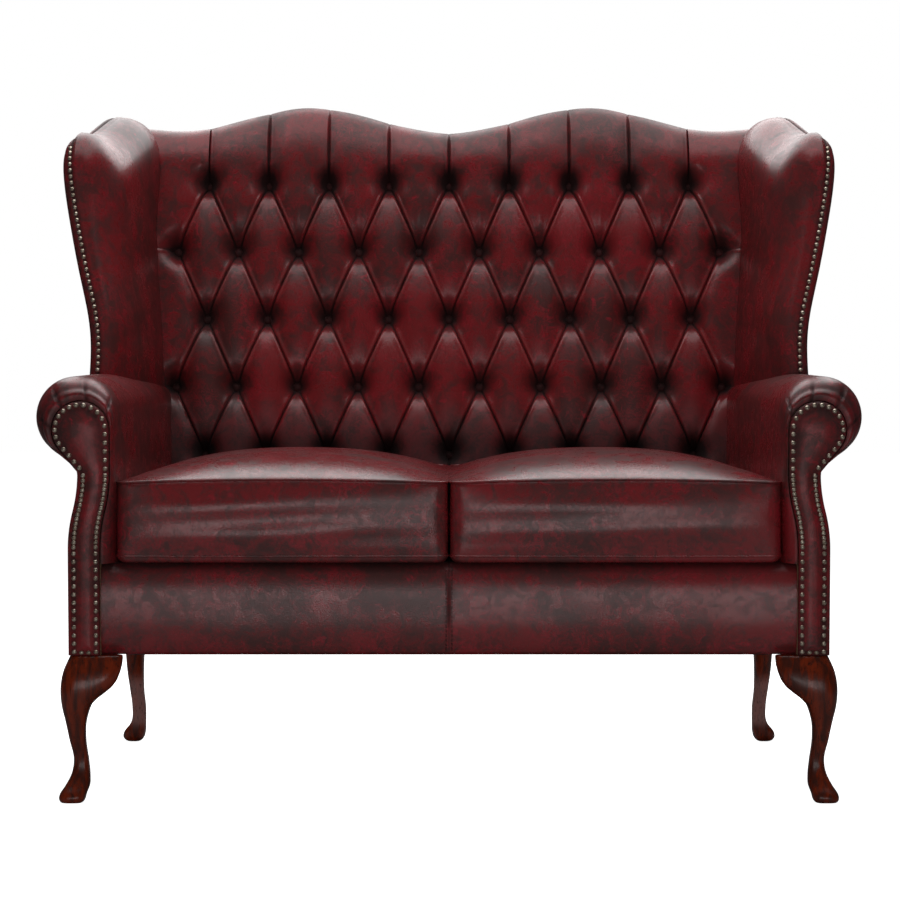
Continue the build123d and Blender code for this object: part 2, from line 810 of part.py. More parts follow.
pad_faces = [net_patch(corners) for corners in panels]
flat_edges = []
for start, end in zip(rim_chain, rim_chain[1:] + rim_chain[:1]):
    raised = net_edge(start, end)
    upper = Edge.make_bezier(*[on_back(*point) for point in raised])
    lower = Edge.make_bezier(*[on_back(point[0], point[1], webbing_thickness) for point in raised])
    pad_faces.append(Face.make_surface_from_curves(upper, lower))
    flat_edges.append(lower)
pad_faces.append(Face(Wire(flat_edges)))
with BuildPart() as back_pad:
    add(Solid(Shell(pad_faces)))
save(back_pad, "back_pad")

with BuildPart() as button:
    button_top = button_seat_depth + button_crown
    rings = ((0.0, 1.2), (button_seat_depth, button_radius), (button_top, 0.64 * button_radius))
    for height, radius in rings:
        with BuildSketch(Plane.XY.offset(height)):
            RegularPolygon(radius, 8)
    loft(ruled=True)

button_plane = back_plane.offset(pad_pit + button_seat_lift)
button_places = []
for row in range(button_rows):
    for column in range(9 + row % 2):
        u, v = button_at(row, column)
        lift = button_rim_lift if row in (0, button_rows - 1) else 0.0
        button_places.append(button_plane.location * Location((u, v, lift)))
with BuildPart() as back_buttons:
    with Locations(*button_places):
        add(button.part)
save(back_buttons, "back_buttons")


# Cushions: six curved panels, crowned on top, with the sides drawn in between the corners
def cushion_panel(corners, bows, lift):
    """Panel through four corners; bows move its four edges and lift moves its middle."""
    a, b, c, d = [Vector(*corner) for corner in corners]
    grid = []
    for i in range(4):
        row = []
        for j in range(4):
            s = j / 3
            t = i / 3
            point = a * (1 - s) * (1 - t) + b * s * (1 - t) + c * s * t + d * (1 - s) * t
            if j in (1, 2):
                point += bows[0] * (1 - t) + bows[2] * t
            if i in (1, 2):
                point += bows[3] * (1 - s) + bows[1] * s
            if i in (1, 2) and j in (1, 2):
                point += lift
            row.append(point)
        grid.append(row)
    return Face.make_bezier_surface(grid)


cushion_bottom = deck_top + fit
cushion_seam = cushion_bottom + cushion_height
cushion_front = border_front - cushion_front_overhang
cushion_rear = pad_reach + 2 * fit


def cushion_corners(z, inset):
    """Plan of the right cushion at height z, drawn in by inset: front then back, inner then outer."""
    rear = back_face_y(z, cushion_rear) - inset
    near = cushion_front + inset
    inner = cushion_gap / 2 + inset
    outer_front = arm_inner(near) - cushion_gap / 2 - inset
    outer_rear = arm_inner(rear) - cushion_gap / 2 - inset
    return (inner, near, z), (outer_front, near, z), (outer_rear, rear, z), (inner, rear, z)


low = cushion_corners(cushion_bottom, 0.0)
high = cushion_corners(cushion_seam, 0.0)
draw = cushion_draw * 4 / 3
pulls = [Vector(0, draw, 0), Vector(-draw, 0, 0), Vector(0, -draw, 0), Vector(draw, 0, 0)]
still = Vector(0, 0, 0)
swell = Vector(0, -(cushion_bulge + draw) * 64 / 36, 0)
cushion_faces = [
    cushion_panel(low, pulls, still),
    cushion_panel(high, pulls, Vector(0, 0, cushion_crown * 64 / 36)),
]
for side in range(4):
    after = (side + 1) % 4
    square = (low[side], low[after], high[after], high[side])
    bows = (pulls[side], still, pulls[side], still)
    cushion_faces.append(cushion_panel(square, bows, swell if side == 0 else still))

with BuildPart() as cushion_core:
    for z in (cushion_bottom + cushion_skin / 2, cushion_seam - cushion_skin / 2):
        with BuildSketch(Plane.XY.offset(z)):
            with BuildLine():
                Polyline(*[corner[:2] for corner in cushion_corners(z, cushion_skin)], close=True)
            make_face()
    loft(ruled=True)
save_pair(cushion_core, "cushion_core")

with BuildPart() as cushion_cover:
    add(Solid(Shell(cushion_faces)))
    add(cushion_core.part, mode=Mode.SUBTRACT)
save_pair(cushion_cover, "cushion_cover")

# Front legs: cabriole, swept out along the diagonal to a pad foot, with an ear under the front border
front_leg_y = front + leg_setback
front_leg_stations = [
    (1.0, 0.0, 1.0), (0.885, 0.31, 1.08), (0.78, 0.5, 1.03), (0.665, 0.73, 0.76), (0.555, 0.77, 0.54),
    (0.43, 0.69, 0.43), (0.27, 0.5, 0.39), (0.185, 0.54, 0.48), (0.11, 0.71, 0.62), (0.05, 0.96, 0.68),
    (0.0, 1.0, 0.5),
]
with BuildPart() as front_leg:
    for rise, swing, size in front_leg_stations:
        width = leg_top_size * size
        with BuildSketch(Plane.XY.offset(leg_height * rise)):
            with Locations((leg_half_x + swing * leg_sweep, front_leg_y - swing * leg_sweep)):
                RectangleRounded(width, width, width * 0.3)
    loft()
    ear_outer = leg_half_x - leg_top_size * 0.1
    ear_tip = leg_half_x - ear_length
    with BuildSketch(Plane.XZ.offset(-front_leg_y + leg_top_size * 0.42)):
        with BuildLine():
            ear_bend = (ear_tip + ear_step, leg_height - ear_shoulder)
            curl = RadiusArc((ear_tip, leg_height), ear_bend, -ear_curl)
            fall = TangentArc(curl @ 1, (ear_tip + ear_run, leg_height - ear_drop), tangent=curl % 1)
            Polyline(
                fall @ 1,
                (ear_outer, leg_height - ear_foot),
                (ear_outer, leg_height),
                (ear_tip, leg_height),
            )
        make_face()
    extrude(amount=-leg_top_size * 0.6)
    add(bolt_holes.part, mode=Mode.SUBTRACT)
save_pair(front_leg, "leg_front")

# Rear legs: slimmer, raked back
rear_leg_y = rear_bolt_y - rear_leg_lead
rear_leg_stations = [
    (1.0, 0.0, 0.0, 1.0), (0.8, 0.0, 0.06, 0.78), (0.58, -0.05, 0.2, 0.6), (0.36, -0.05, 0.48, 0.57),
    (0.2, 0.04, 0.72, 0.68), (0.07, 0.18, 0.94, 0.9), (0.0, 0.22, 1.0, 0.75),
]
with BuildPart() as rear_leg:
    for rise, out, swing, size in rear_leg_stations:
        width = rear_leg_top_size * size
        with BuildSketch(Plane.XY.offset(leg_height * rise)):
            with Locations((rear_leg_half_x + out * rear_leg_sweep, rear_leg_y + swing * rear_leg_sweep)):
                RectangleRounded(width, width, width * 0.3)
    loft()
    add(bolt_holes.part, mode=Mode.SUBTRACT)
save_pair(rear_leg, "leg_back")

# Upholstery nails: one small head repeated along the facing and along the wing's outer edge
with BuildPart() as nail:
    for z, radius in ((0.0, nail_radius), (nail_height, nail_radius * 0.55)):
        with BuildSketch(Plane.XY.offset(z)):
            RegularPolygon(radius, 6)
    loft(ruled=True)

with BuildLine() as facing_edge:
    facing_outline()
facing_nail_places = []
for edge in facing_edge.edges():
    on_curve = edge.geom_type == GeomType.CIRCLE and edge.center().Y < neck_top
    at_foot = edge.center().Y < leg_height + nail_margin
    count = round(edge.length / (nail_pitch_close if on_curve else nail_pitch_foot if at_foot else nail_pitch))
    steps = range(1, count - 1) if at_foot else range(count)
    for step in steps:
        along = (step + 0.5) / count
        heading = edge.tangent_at(along)
        place = edge.position_at(along) + Vector(-heading.Y, heading.X) * nail_margin
        facing_nail_places.append(Plane((place.X, facing_front, place.Y), z_dir=(0, -1, 0)).location)
with BuildPart() as facing_nails:
    with Locations(*facing_nail_places):
        add(nail.part)
save_pair(facing_nails, "arm_nails")

wing_nail_places = []
nail_plane = wing_plane.offset(-wing_board + nail_radius + 1)
for edge in wing_edges:
    count = max(1, round(edge.length / wing_nail_pitch))
    for step in range(count):
        heading = edge.tangent_at((step + 0.5) / count)
        outward = Vector(heading.Y, -heading.X)
        spot = edge.position_at((step + 0.5) / count)
        place = nail_plane.from_local_coords(spot + outward * wing_nail_lift)
        axis = nail_plane.from_local_coords(outward) - nail_plane.origin
        if place.Z > arm_height + nail_radius:
            wing_nail_places.append(Plane(place, z_dir=axis).location)
with BuildPart() as wing_nails:
    with Locations(*wing_nail_places):
        add(nail.part)
save_pair(wing_nails, "wing_nails")
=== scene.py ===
import bpy
import bmesh
import math
import numpy as np
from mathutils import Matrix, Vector


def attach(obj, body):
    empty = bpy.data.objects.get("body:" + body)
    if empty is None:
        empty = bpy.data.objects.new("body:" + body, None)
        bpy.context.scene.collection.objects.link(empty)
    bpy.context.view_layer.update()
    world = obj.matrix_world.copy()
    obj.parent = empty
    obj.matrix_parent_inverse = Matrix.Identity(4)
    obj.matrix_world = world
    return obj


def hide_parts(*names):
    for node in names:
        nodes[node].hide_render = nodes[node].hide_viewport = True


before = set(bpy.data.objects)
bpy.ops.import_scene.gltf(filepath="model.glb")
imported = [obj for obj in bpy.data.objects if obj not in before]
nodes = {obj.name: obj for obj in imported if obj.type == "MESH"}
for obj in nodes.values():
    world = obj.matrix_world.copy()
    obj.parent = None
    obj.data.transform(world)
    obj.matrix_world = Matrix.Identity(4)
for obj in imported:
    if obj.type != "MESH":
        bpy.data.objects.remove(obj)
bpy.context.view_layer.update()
scene = bpy.context.scene
print("frame loaded with", len(nodes), "nodes")


# Shader helpers
def feed(tree, node, inputs):
    for key, value in inputs.items():
        if isinstance(value, bpy.types.NodeSocket):
            tree.links.new(value, node.inputs[key])
        else:
            node.inputs[key].default_value = value


def addNode(tree, kind, inputs=None, **settings):
    made = tree.nodes.new("ShaderNode" + kind)
    for key, value in settings.items():
        setattr(made, key, value)
    feed(tree, made, inputs or {})
    return made


def useGroup(tree, group, inputs):
    return addNode(tree, "Group", inputs, node_tree=group)


def newGroup(name, inputs, outputs):
    tree = bpy.data.node_groups.new(name, "ShaderNodeTree")
    for label, kind, value in inputs:
        socket = tree.interface.new_socket(label, in_out="INPUT", socket_type="NodeSocket" + kind)
        if value is not None:
            socket.default_value = value
    for label, kind in outputs:
        tree.interface.new_socket(label, in_out="OUTPUT", socket_type="NodeSocket" + kind)
    return tree, tree.nodes.new("NodeGroupInput"), tree.nodes.new("NodeGroupOutput")


def ramp(tree, fac, low, high):
    span = {"Value": fac, "From Min": low, "From Max": high}
    return addNode(tree, "MapRange", span, interpolation_type="SMOOTHSTEP").outputs[0]


def rescale(tree, fac, low, high):
    return addNode(tree, "MapRange", {"Value": fac, "To Min": low, "To Max": high}).outputs[0]


def noise(tree, spot, scale, detail, **rest):
    return addNode(tree, "TexNoise", {"Vector": spot, "Scale": scale, "Detail": detail, **rest}).outputs[0]


def mixColour(tree, fac, a, b):
    return addNode(tree, "Mix", {0: fac, 6: a, 7: b}, data_type="RGBA").outputs[2]


def mathNode(tree, operation, a, b=0.0):
    return addNode(tree, "Math", {0: a, 1: b}, operation=operation).outputs[0]


def times(tree, a, b):
    return mathNode(tree, "MULTIPLY", a, b)


def plus(tree, a, b):
    return mathNode(tree, "ADD", a, b)


# Rubbed antique finish: clouds of dark and red, with thin bright veins
def mottleGroup():
    tree, given, result = newGroup(
        "rubbedMottle",
        [("Vector", "Vector", None), ("Dark", "Color", (0, 0, 0, 1)), ("Middle", "Color", (0, 0, 0, 1)),
         ("Bright", "Color", (0, 0, 0, 1)), ("Veins", "Float", 1.0)],
        [("Colour", "Color"), ("Cloud", "Float")],
    )
    spot = given.outputs["Vector"]
    broad = noise(tree, spot, 7.0, 4.0, Roughness=0.55, Distortion=0.3)
    fine = noise(tree, spot, 38.0, 6.0, Roughness=0.7, Distortion=1.0)
    speck = noise(tree, spot, 210.0, 4.0, Roughness=0.7)
    both = plus(tree, times(tree, broad, 0.36), times(tree, fine, 0.50))
    cloud = ramp(tree, plus(tree, both, times(tree, speck, 0.14)), 0.42, 0.58)
    base = mixColour(tree, cloud, given.outputs["Dark"], given.outputs["Middle"])
    thread = noise(tree, spot, 44.0, 7.0, Roughness=0.68, Distortion=1.2)
    line = ramp(tree, mathNode(tree, "ABSOLUTE", mathNode(tree, "SUBTRACT", thread, 0.5)), 0.045, 0.0)
    patch = noise(tree, spot, 13.0, 4.0, Roughness=0.6)
    where = ramp(tree, plus(tree, patch, times(tree, speck, 0.3)), 0.58, 0.80)
    fleck = ramp(tree, plus(tree, thread, times(tree, speck, 0.2)), 0.67, 0.82)
    vein = times(tree, times(tree, line, where), given.outputs["Veins"])
    red = mathNode(tree, "MINIMUM", plus(tree, vein, times(tree, fleck, 0.65)), 1.0)
    feed(tree, result, {"Colour": mixColour(tree, red, base, given.outputs["Bright"]), "Cloud": cloud})
    return tree


# Fine pebbled hide with a few soft creases
def grainGroup():
    tree, given, result = newGroup(
        "hideGrain",
        [("Vector", "Vector", None), ("Creases", "Float", 1.0)],
        [("Height", "Float")],
    )
    spot = given.outputs["Vector"]
    pebble = addNode(tree, "TexVoronoi", {"Vector": spot, "Scale": 620.0}, feature="F1").outputs["Distance"]
    dust = noise(tree, spot, 900.0, 3.0)
    crease = noise(tree, spot, 38.0, 5.0, Distortion=1.2)
    fine = plus(tree, times(tree, pebble, 0.35), times(tree, dust, 0.2))
    deep = times(tree, times(tree, crease, 1.4), given.outputs["Creases"])
    feed(tree, result, {"Height": plus(tree, fine, deep)})
    return tree


# Slow unevenness for hidden materials: a darker and a lighter tone
def toneGroup():
    tree, given, result = newGroup(
        "unevenTone",
        [("Vector", "Vector", None), ("Scale", "Float", 30.0),
         ("Low", "Color", (0, 0, 0, 1)), ("High", "Color", (0, 0, 0, 1))],
        [("Colour", "Color"), ("Value", "Float")],
    )
    value = ramp(tree, noise(tree, given.outputs["Vector"], given.outputs["Scale"], 5.0), 0.35, 0.65)
    feed(tree, result, {"Colour": mixColour(tree, value, given.outputs["Low"], given.outputs["High"]), "Value": value})
    return tree


rubbedMottle = mottleGroup()
hideGrain = grainGroup()
unevenTone = toneGroup()


def newMaterial(name):
    look = bpy.data.materials.new(name)
    look.use_nodes = True
    tree = look.node_tree
    tree.nodes.clear()
    shader = addNode(tree, "BsdfPrincipled")
    output = addNode(tree, "OutputMaterial", {"Surface": shader.outputs[0]})
    output.is_active_output = True
    return look, tree, shader, addNode(tree, "TexCoord").outputs["Object"]


def bump(tree, height, strength, distance):
    return addNode(tree, "Bump", {"Height": height, "Strength": strength, "Distance": distance}).outputs[0]


# Above 0 the crease attribute paints shade into the colour, near black, and dulls it; below 0 it lightens a rubbed
# edge, partly wear and partly a painted highlight
def leatherMaterial(name, dark, middle, bright, veins, rough, creases, shine=0.5):
    look, tree, shader, spot = newMaterial(name)
    mottle = useGroup(tree, rubbedMottle, {"Vector": spot, "Dark": dark, "Middle": middle, "Bright": bright, "Veins": veins})
    grain = useGroup(tree, hideGrain, {"Vector": spot, "Creases": creases})
    paintedShadeAndRub = addNode(tree, "Attribute", attribute_name="paintedShadeAndRub").outputs["Fac"]
    deep = mathNode(tree, "MAXIMUM", paintedShadeAndRub)
    edge = mathNode(tree, "MAXIMUM", times(tree, paintedShadeAndRub, -1.0))
    rubAndSheen = mixColour(tree, edge, mottle.outputs["Colour"], (0.38, 0.075, 0.075, 1))
    shade = mixColour(tree, times(tree, deep, 0.94), rubAndSheen, (0.008, 0.003, 0.003, 1))
    polish = rescale(tree, mottle.outputs["Cloud"], rough + 0.05, rough - 0.05)
    feed(tree, shader, {"Base Color": shade, "Roughness": plus(tree, polish, times(tree, deep, 0.55)),
                        "Specular IOR Level": shine, "Normal": bump(tree, grain.outputs["Height"], 0.25, 0.0012)})
    return look


# The shin value paints a lighter band round the lower part of a leg, a painted highlight
def timberMaterial(name, dark, light, rough, coat, stretch, shinSheen=0.0):
    look, tree, shader, spot = newMaterial(name)
    along = addNode(tree, "Mapping", {"Vector": spot, "Scale": stretch}).outputs[0]
    pores = noise(tree, along, 5.0, 3.0)
    bands = ramp(tree, noise(tree, along, 1.0, 6.0, Roughness=0.6, Distortion=0.6), 0.38, 0.62)
    tone = mixColour(tree, bands, dark, light)
    if shinSheen:
        height = addNode(tree, "SeparateXYZ", {"Vector": spot}).outputs["Z"]
        band = times(tree, ramp(tree, height, 0.022, 0.042), ramp(tree, height, 0.130, 0.100))
        tone = mixColour(tree, times(tree, band, shinSheen), tone, (0.42, 0.21, 0.19, 1))
    filled = mixColour(tree, times(tree, ramp(tree, pores, 0.42, 0.34), 0.6), tone, (0.004, 0.002, 0.001, 1))
    feed(tree, shader, {"Base Color": filled, "Roughness": rescale(tree, bands, rough + 0.06, rough - 0.04),
                        "Coat Weight": coat, "Coat Roughness": 0.12, "Normal": bump(tree, pores, 0.12, 0.0006)})
    return look


def metalMaterial(name, low, high, rough):
    look, tree, shader, spot = newMaterial(name)
    tone = useGroup(tree, unevenTone, {"Vector": spot, "Scale": 160.0, "Low": low, "High": high})
    polish = rescale(tree, tone.outputs["Value"], rough + 0.14, rough)
    feed(tree, shader, {"Base Color": tone.outputs["Colour"], "Roughness": polish, "Metallic": 1.0})
    return look


def clothMaterial(name, low, high, weave, rough):
    look, tree, shader, spot = newMaterial(name)
    tone = useGroup(tree, unevenTone, {"Vector": spot, "Scale": 25.0, "Low": low, "High": high})
    warp = addNode(tree, "TexWave", {"Vector": spot, "Scale": weave}, bands_direction="X")
    weft = addNode(tree, "TexWave", {"Vector": spot, "Scale": weave}, bands_direction="Y")
    cross = times(tree, warp.outputs["Fac"], weft.outputs["Fac"])
    woven = mixColour(tree, times(tree, cross, 0.4), tone.outputs["Colour"], low)
    feed(tree, shader, {"Base Color": woven, "Roughness": rough, "Normal": bump(tree, cross, 0.4, 0.0008)})
    return look


hide = dict(dark=(0.070, 0.016, 0.015, 1), middle=(0.205, 0.015, 0.018, 1), bright=(0.40, 0.013, 0.030, 1))
leather = leatherMaterial("oxbloodLeather", veins=0.45, rough=0.31, creases=0.35, **hide)
seatLeather = leatherMaterial("oxbloodSeatLeather", veins=0.6, rough=0.29, creases=0.15, shine=0.9, **hide)
panelLeather = leatherMaterial("oxbloodPanelLeather", veins=0.4, rough=0.34, creases=0.2, **hide)
legWood = dict(dark=(0.055, 0.0075, 0.002, 1), light=(0.185, 0.020, 0.0035, 1), rough=0.25, coat=0.12, stretch=(85, 85, 7))
mahogany = timberMaterial("polishedMahogany", **legWood)
paintedSheenMahogany = timberMaterial("paintedSheenMahogany", shinSheen=0.6, **legWood)
beech = timberMaterial("sawnBeech", (0.28, 0.17, 0.09, 1), (0.42, 0.28, 0.16, 1), 0.62, 0.0, (8, 60, 60))
brass = metalMaterial("antiqueBrass", (0.46, 0.38, 0.29, 1), (0.80, 0.71, 0.58, 1), 0.34)
steel = metalMaterial("zincSteel", (0.32, 0.32, 0.33, 1), (0.55, 0.55, 0.56, 1), 0.35)
jute = clothMaterial("juteWebbing", (0.16, 0.11, 0.06, 1), (0.30, 0.22, 0.13, 1), 300.0, 0.9)
lining = clothMaterial("blackLining", (0.012, 0.012, 0.013, 1), (0.03, 0.03, 0.032, 1), 500.0, 0.85)
thread = clothMaterial("oxbloodThread", (0.05, 0.012, 0.012, 1), (0.11, 0.03, 0.03, 1), 900.0, 0.7)
print("materials ready")


# Mesh helpers: a piece is gathered as a list of sheets, then made into one object
def smoothStep(x):
    x = np.clip(x, 0.0, 1.0)
    return x * x * (3 - 2 * x)


def eased(count):
    return 0.5 - 0.5 * np.cos(np.pi * np.linspace(0, 1, count))


def bell(x, width):
    return np.exp(-(x / width) ** 2)


def unit(v):
    return v / (np.linalg.norm(v, axis=-1, keepdims=True) + 1e-12)


def resample(points, count):
    points = np.asarray(points, float)
    steps = np.r_[0, np.cumsum(np.linalg.norm(np.diff(points, axis=0), axis=1))]
    at = np.linspace(0, steps[-1], count)
    return np.stack([np.interp(at, steps, points[:, axis]) for axis in range(points.shape[1])], -1)


def arc(centre, radius, start, stop, count):
    turn = np.radians(np.linspace(start, stop, count))
    return np.stack([centre[0] + radius * np.cos(turn), centre[1] + radius * np.sin(turn)], -1)


class Gather:
    def __init__(self):
        self.points = []
        self.faces = []
        self.paintedShadeAndRub = []
        self.count = 0

    def sheet(self, grid, paintedShadeAndRub=None, wrap=False, flip=False):
        rows, cols = grid.shape[:2]
        first = self.count
        self.points.append(grid.reshape(-1, 3))
        self.paintedShadeAndRub.append(np.zeros(rows * cols) if paintedShadeAndRub is None else np.broadcast_to(paintedShadeAndRub, (rows, cols)).reshape(-1))
        self.count += rows * cols
        for i in range(rows - 1):
            for j in range(cols if wrap else cols - 1):
                a = first + i * cols + j
                b = first + i * cols + (j + 1) % cols
                quad = (a, b, b + cols, a + cols)
                self.faces.append(quad[::-1] if flip else quad)

    def cap(self, ring, flip=False):
        first = self.count
        self.points.append(np.asarray(ring))
        self.paintedShadeAndRub.append(np.zeros(len(ring)))
        self.count += len(ring)
        loop = tuple(range(first, self.count))
        self.faces.append(loop[::-1] if flip else loop)

    def tube(self, path, radius, sides=8, closed=False):
        path = np.asarray(path, float)
        ahead = np.roll(path, -1, 0) - np.roll(path, 1, 0)
        if not closed:
            ahead[0] = path[1] - path[0]
            ahead[-1] = path[-1] - path[-2]
        ahead = unit(ahead)
        guide = np.tile((0.0, 0.0, 1.0), (len(path), 1))
        guide[np.abs(ahead[:, 2]) > 0.9] = (0.0, 1.0, 0.0)
        side = unit(np.cross(ahead, guide))
        lift = np.cross(side, ahead)
        turn = np.linspace(0, 2 * np.pi, sides, endpoint=False)[None, :, None]
        ring = path[:, None] + radius * (side[:, None] * np.cos(turn) + lift[:, None] * np.sin(turn))
        if closed:
            ring = np.concatenate([ring, ring[:1]])
        self.sheet(ring, wrap=True)

    def mirrored(self):
        other = Gather()
        other.points = [block * np.array((-1, 1, 1)) for block in self.points]
        other.paintedShadeAndRub = self.paintedShadeAndRub
        other.faces = [face[::-1] for face in self.faces]
        other.count = self.count
        return other

    def join(self, other):
        start = self.count
        self.points += other.points
        self.paintedShadeAndRub += other.paintedShadeAndRub
        self.faces += [tuple(start + corner for corner in face) for face in other.faces]
        self.count += other.count


def newObject(name, data):
    obj = bpy.data.objects.new(name, data)
    scene.collection.objects.link(obj)
    return obj


def readPoints(mesh):
    flat = np.empty(len(mesh.vertices) * 3, np.float32)
    mesh.vertices.foreach_get("co", flat)
    return flat.reshape(-1, 3).astype(float)


def writePoints(mesh, points):
    mesh.vertices.foreach_set("co", points.astype(np.float32).reshape(-1))
    mesh.update()


# Welds points closer than weld metres, and keeps edges sharper than sharp degrees
def makePiece(name, gather, look, slotName, body="frame", replaced=(), fill=None, weld=0.00012, sharp=None):
    mesh = bpy.data.meshes.new(name)
    mesh.from_pydata(np.concatenate(gather.points).tolist(), [], gather.faces)
    layer = mesh.attributes.new("paintedShadeAndRub", "FLOAT", "POINT")
    layer.data.foreach_set("value", np.concatenate(gather.paintedShadeAndRub).astype(np.float32))
    work = bmesh.new()
    work.from_mesh(mesh)
    bmesh.ops.remove_doubles(work, verts=work.verts, dist=weld)
    bmesh.ops.recalc_face_normals(work, faces=work.faces)
    work.to_mesh(mesh)
    work.free()
    mesh.polygons.foreach_set("use_smooth", [True] * len(mesh.polygons))
    if sharp:
        mesh.set_sharp_from_angle(angle=math.radians(sharp))
    mesh.update()
    obj = newObject(name, mesh)
    mesh.materials.append(look)
    settle(obj, body, replaced)
    return obj


def settle(obj, body="frame", replaced=()):
    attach(obj, body)
    if replaced:
        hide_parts(*replaced)


def makePair(name, gather, look, slotName, replaced=(), **rest):
    for side, half in (("left", gather.mirrored()), ("right", gather)):
        makePiece(f"{name}_{side}", half, look, slotName, replaced=[f"{node}_{side}" for node in replaced], **rest)


# Shared frame, in metres, as in the CAD part
legTop = 0.225
deckTop = 0.366
sinRake = math.sin(math.radians(13))
cosRake = math.cos(math.radians(13))
backY = 0.17926
crestTurns = ((0.0, 0.868), (0.248, 0.9155), (0.477, 0.8715), (0.6002, 0.880))


def onBack(u, v, w):
    u, v, w = np.broadcast_arrays(u, v, w)
    return np.stack([u, backY + v * sinRake - w * cosRake, legTop + v * cosRake + w * sinRake], -1)


def backFaceY(z, w):
    return backY + (z - legTop - w * sinRake) / cosRake * sinRake - w * cosRake


def crest(u):
    u = np.abs(u)
    height = np.full(np.shape(u), crestTurns[-1][1])
    for (u0, v0), (u1, v1) in list(zip(crestTurns, crestTurns[1:]))[::-1]:
        height = np.where(u <= u1, v0 + smoothStep((u - u0) / (u1 - u0)) * (v1 - v0), height)
    return height


def rollHeight(u):
    return np.clip(crest(u) - tufts["rollFrom"], tufts["rollLeast"], tufts["rollMost"])


# Distance in front of the plane of the back frame
def aheadOfBack(points):
    return (backY + (points[..., 2] - legTop) * sinRake / cosRake - points[..., 1]) * cosRake


def padHalf(v):
    return 0.478 + 0.045 * (v - 0.09475) / (0.880 - 0.09475)


def armInner(y):
    return 0.513 - 0.030 * (y + 0.389) / 0.590


# Deep-buttoned back
# lattice, roll over the crest, pits and pleats, painted shade and painted lip highlight, then the panels' own reaches
tufts = dict(crown=0.0695, drop=0.0095, power=0.85, pitch=0.1065, rowPitch=0.1216, topRow=0.767, foot=0.0948, rows=5, cells=27,
             rollBack=-0.0300, rollFrom=0.800, rollLeast=0.066, rollMost=0.108, rollRound=0.95, rollSquare=0.055,
             pit=0.027, pitDrop=0.0240, pitReach=0.0215, groove=0.0024, grooveReach=0.0016,
             lip=0.0017, lipAt=0.0040, lipReach=0.0018,
             pitShade=1.2, pitHalo=0.0182, haloRise=0.74, haloPower=2.4, pleatShade=0.7, pleatReach=0.0013, rubAndSheen=0.45,
             seatShade=0.58, seatShadeAt=0.40, rimShade=0.45, flankShade=0.44, flankReach=0.015, flankSpan=0.11,
             reach=0.060, join=0.085, span=0.12, channel=1.35, channelCalm=0.75, pleatFade=0.75, pleatFadeAt=0.022,
             sideReach=0.034, sideGap=0.020, sideJoin=0.06, sideFlat=0.92, sideKeep=0.5, wingEnd=0.6008, wingFront=0.584)


def tuft(x):
    return np.sin(np.pi * np.clip(x, 0, 1)) ** tufts["power"]


def leave(d, reach=tufts["reach"]):
    return np.sin(np.pi / 2 * np.clip(d / reach, 0, 1)) ** tufts["power"]


# Distance to the nearest button, with the distance above it scaled
def buttonGap(u, v, above=1.0):
    row = (tufts["topRow"] - v) / tufts["rowPitch"]
    least = np.full(np.shape(u), 1.0)
    for r in range(tufts["rows"]):
        shift = 0.5 * (r % 2)
        col = np.clip(np.round(u / tufts["pitch"] - shift) + shift, -4 - shift, 4 + shift)
        fall = (row - r) * tufts["rowPitch"]
        least = np.minimum(least, np.hypot(u - col * tufts["pitch"], np.where(fall < 0, above, 1.0) * fall))
    return least


# Padding height from how deep the pleats pull it (sink, 0 to 2) and the distance to a pleat, with painted shade in
# pits, along pleats and low near the seat, and lips lightened partly for wear, partly as a painted highlight
def tuftHeight(u, v, sink, near, keep=1.0):
    gap = buttonGap(u, v)
    well = bell(gap, tufts["pitReach"])
    w = tufts["crown"] - tufts["drop"] * sink - tufts["pitDrop"] * well
    w = w - tufts["groove"] * keep * bell(near, tufts["grooveReach"]) * (1 - well)
    ridge = keep * bell(near - tufts["lipAt"], tufts["lipReach"]) * (1 - well)
    w = w + tufts["lip"] * ridge
    # painted shade: a dark halo round each button, dark pleat lines, and darker low down by the seat
    halo = np.exp(-(buttonGap(u, v, tufts["haloRise"]) / tufts["pitHalo"]) ** tufts["haloPower"])
    dim = tufts["seatShade"] * smoothStep((tufts["seatShadeAt"] - v) / tufts["span"])
    pleat = tufts["pleatShade"] * keep * bell(near, tufts["pleatReach"])
    return w, np.clip(pleat + tufts["pitShade"] * halo + dim - tufts["rubAndSheen"] * ridge * (1 - dim), -0.5, 1)


def latticePoint(col, row):
    return col * tufts["pitch"], tufts["topRow"] - row * tufts["rowPitch"]


# Where the panels end: at the roll of the crest (way 1) or at the seat (way -1)
def panelEnd(u, way):
    return crest(u) - rollHeight(u) if way > 0 else np.full(np.shape(u), tufts["foot"])


# 0 well below the crest, 1 at the foot of its roll
def nearCrest(u, v, way):
    return smoothStep((v - panelEnd(u, way)) / tufts["span"] + 1) if way > 0 else 0.0


# From two pleats at the start of a panel to one panel at the distance d, at the share s across it
def twoToOne(s, d, join):
    mix = smoothStep(d / join)
    return (1 - mix) * tuft((2 * s) % 1.0) + mix * tuft(s)


# 0 on a side panel's first pleat, 1 just beyond it
def offPleat(d):
    return smoothStep((d - 0.003) / 0.014)


def diamond(gather, col, row):
    s, t = np.meshgrid(eased(tufts["cells"]), eased(tufts["cells"]))
    u, v = latticePoint(col + 0.5 * (s - t), row - 1 + s + t)
    near = 0.097 * np.minimum(np.minimum(s, 1 - s), np.minimum(t, 1 - t))
    w, paintedShadeAndRub = tuftHeight(u, v, 2 - tuft(s) - tuft(t), near)
    gather.sheet(onBack(u, v, w), paintedShadeAndRub)


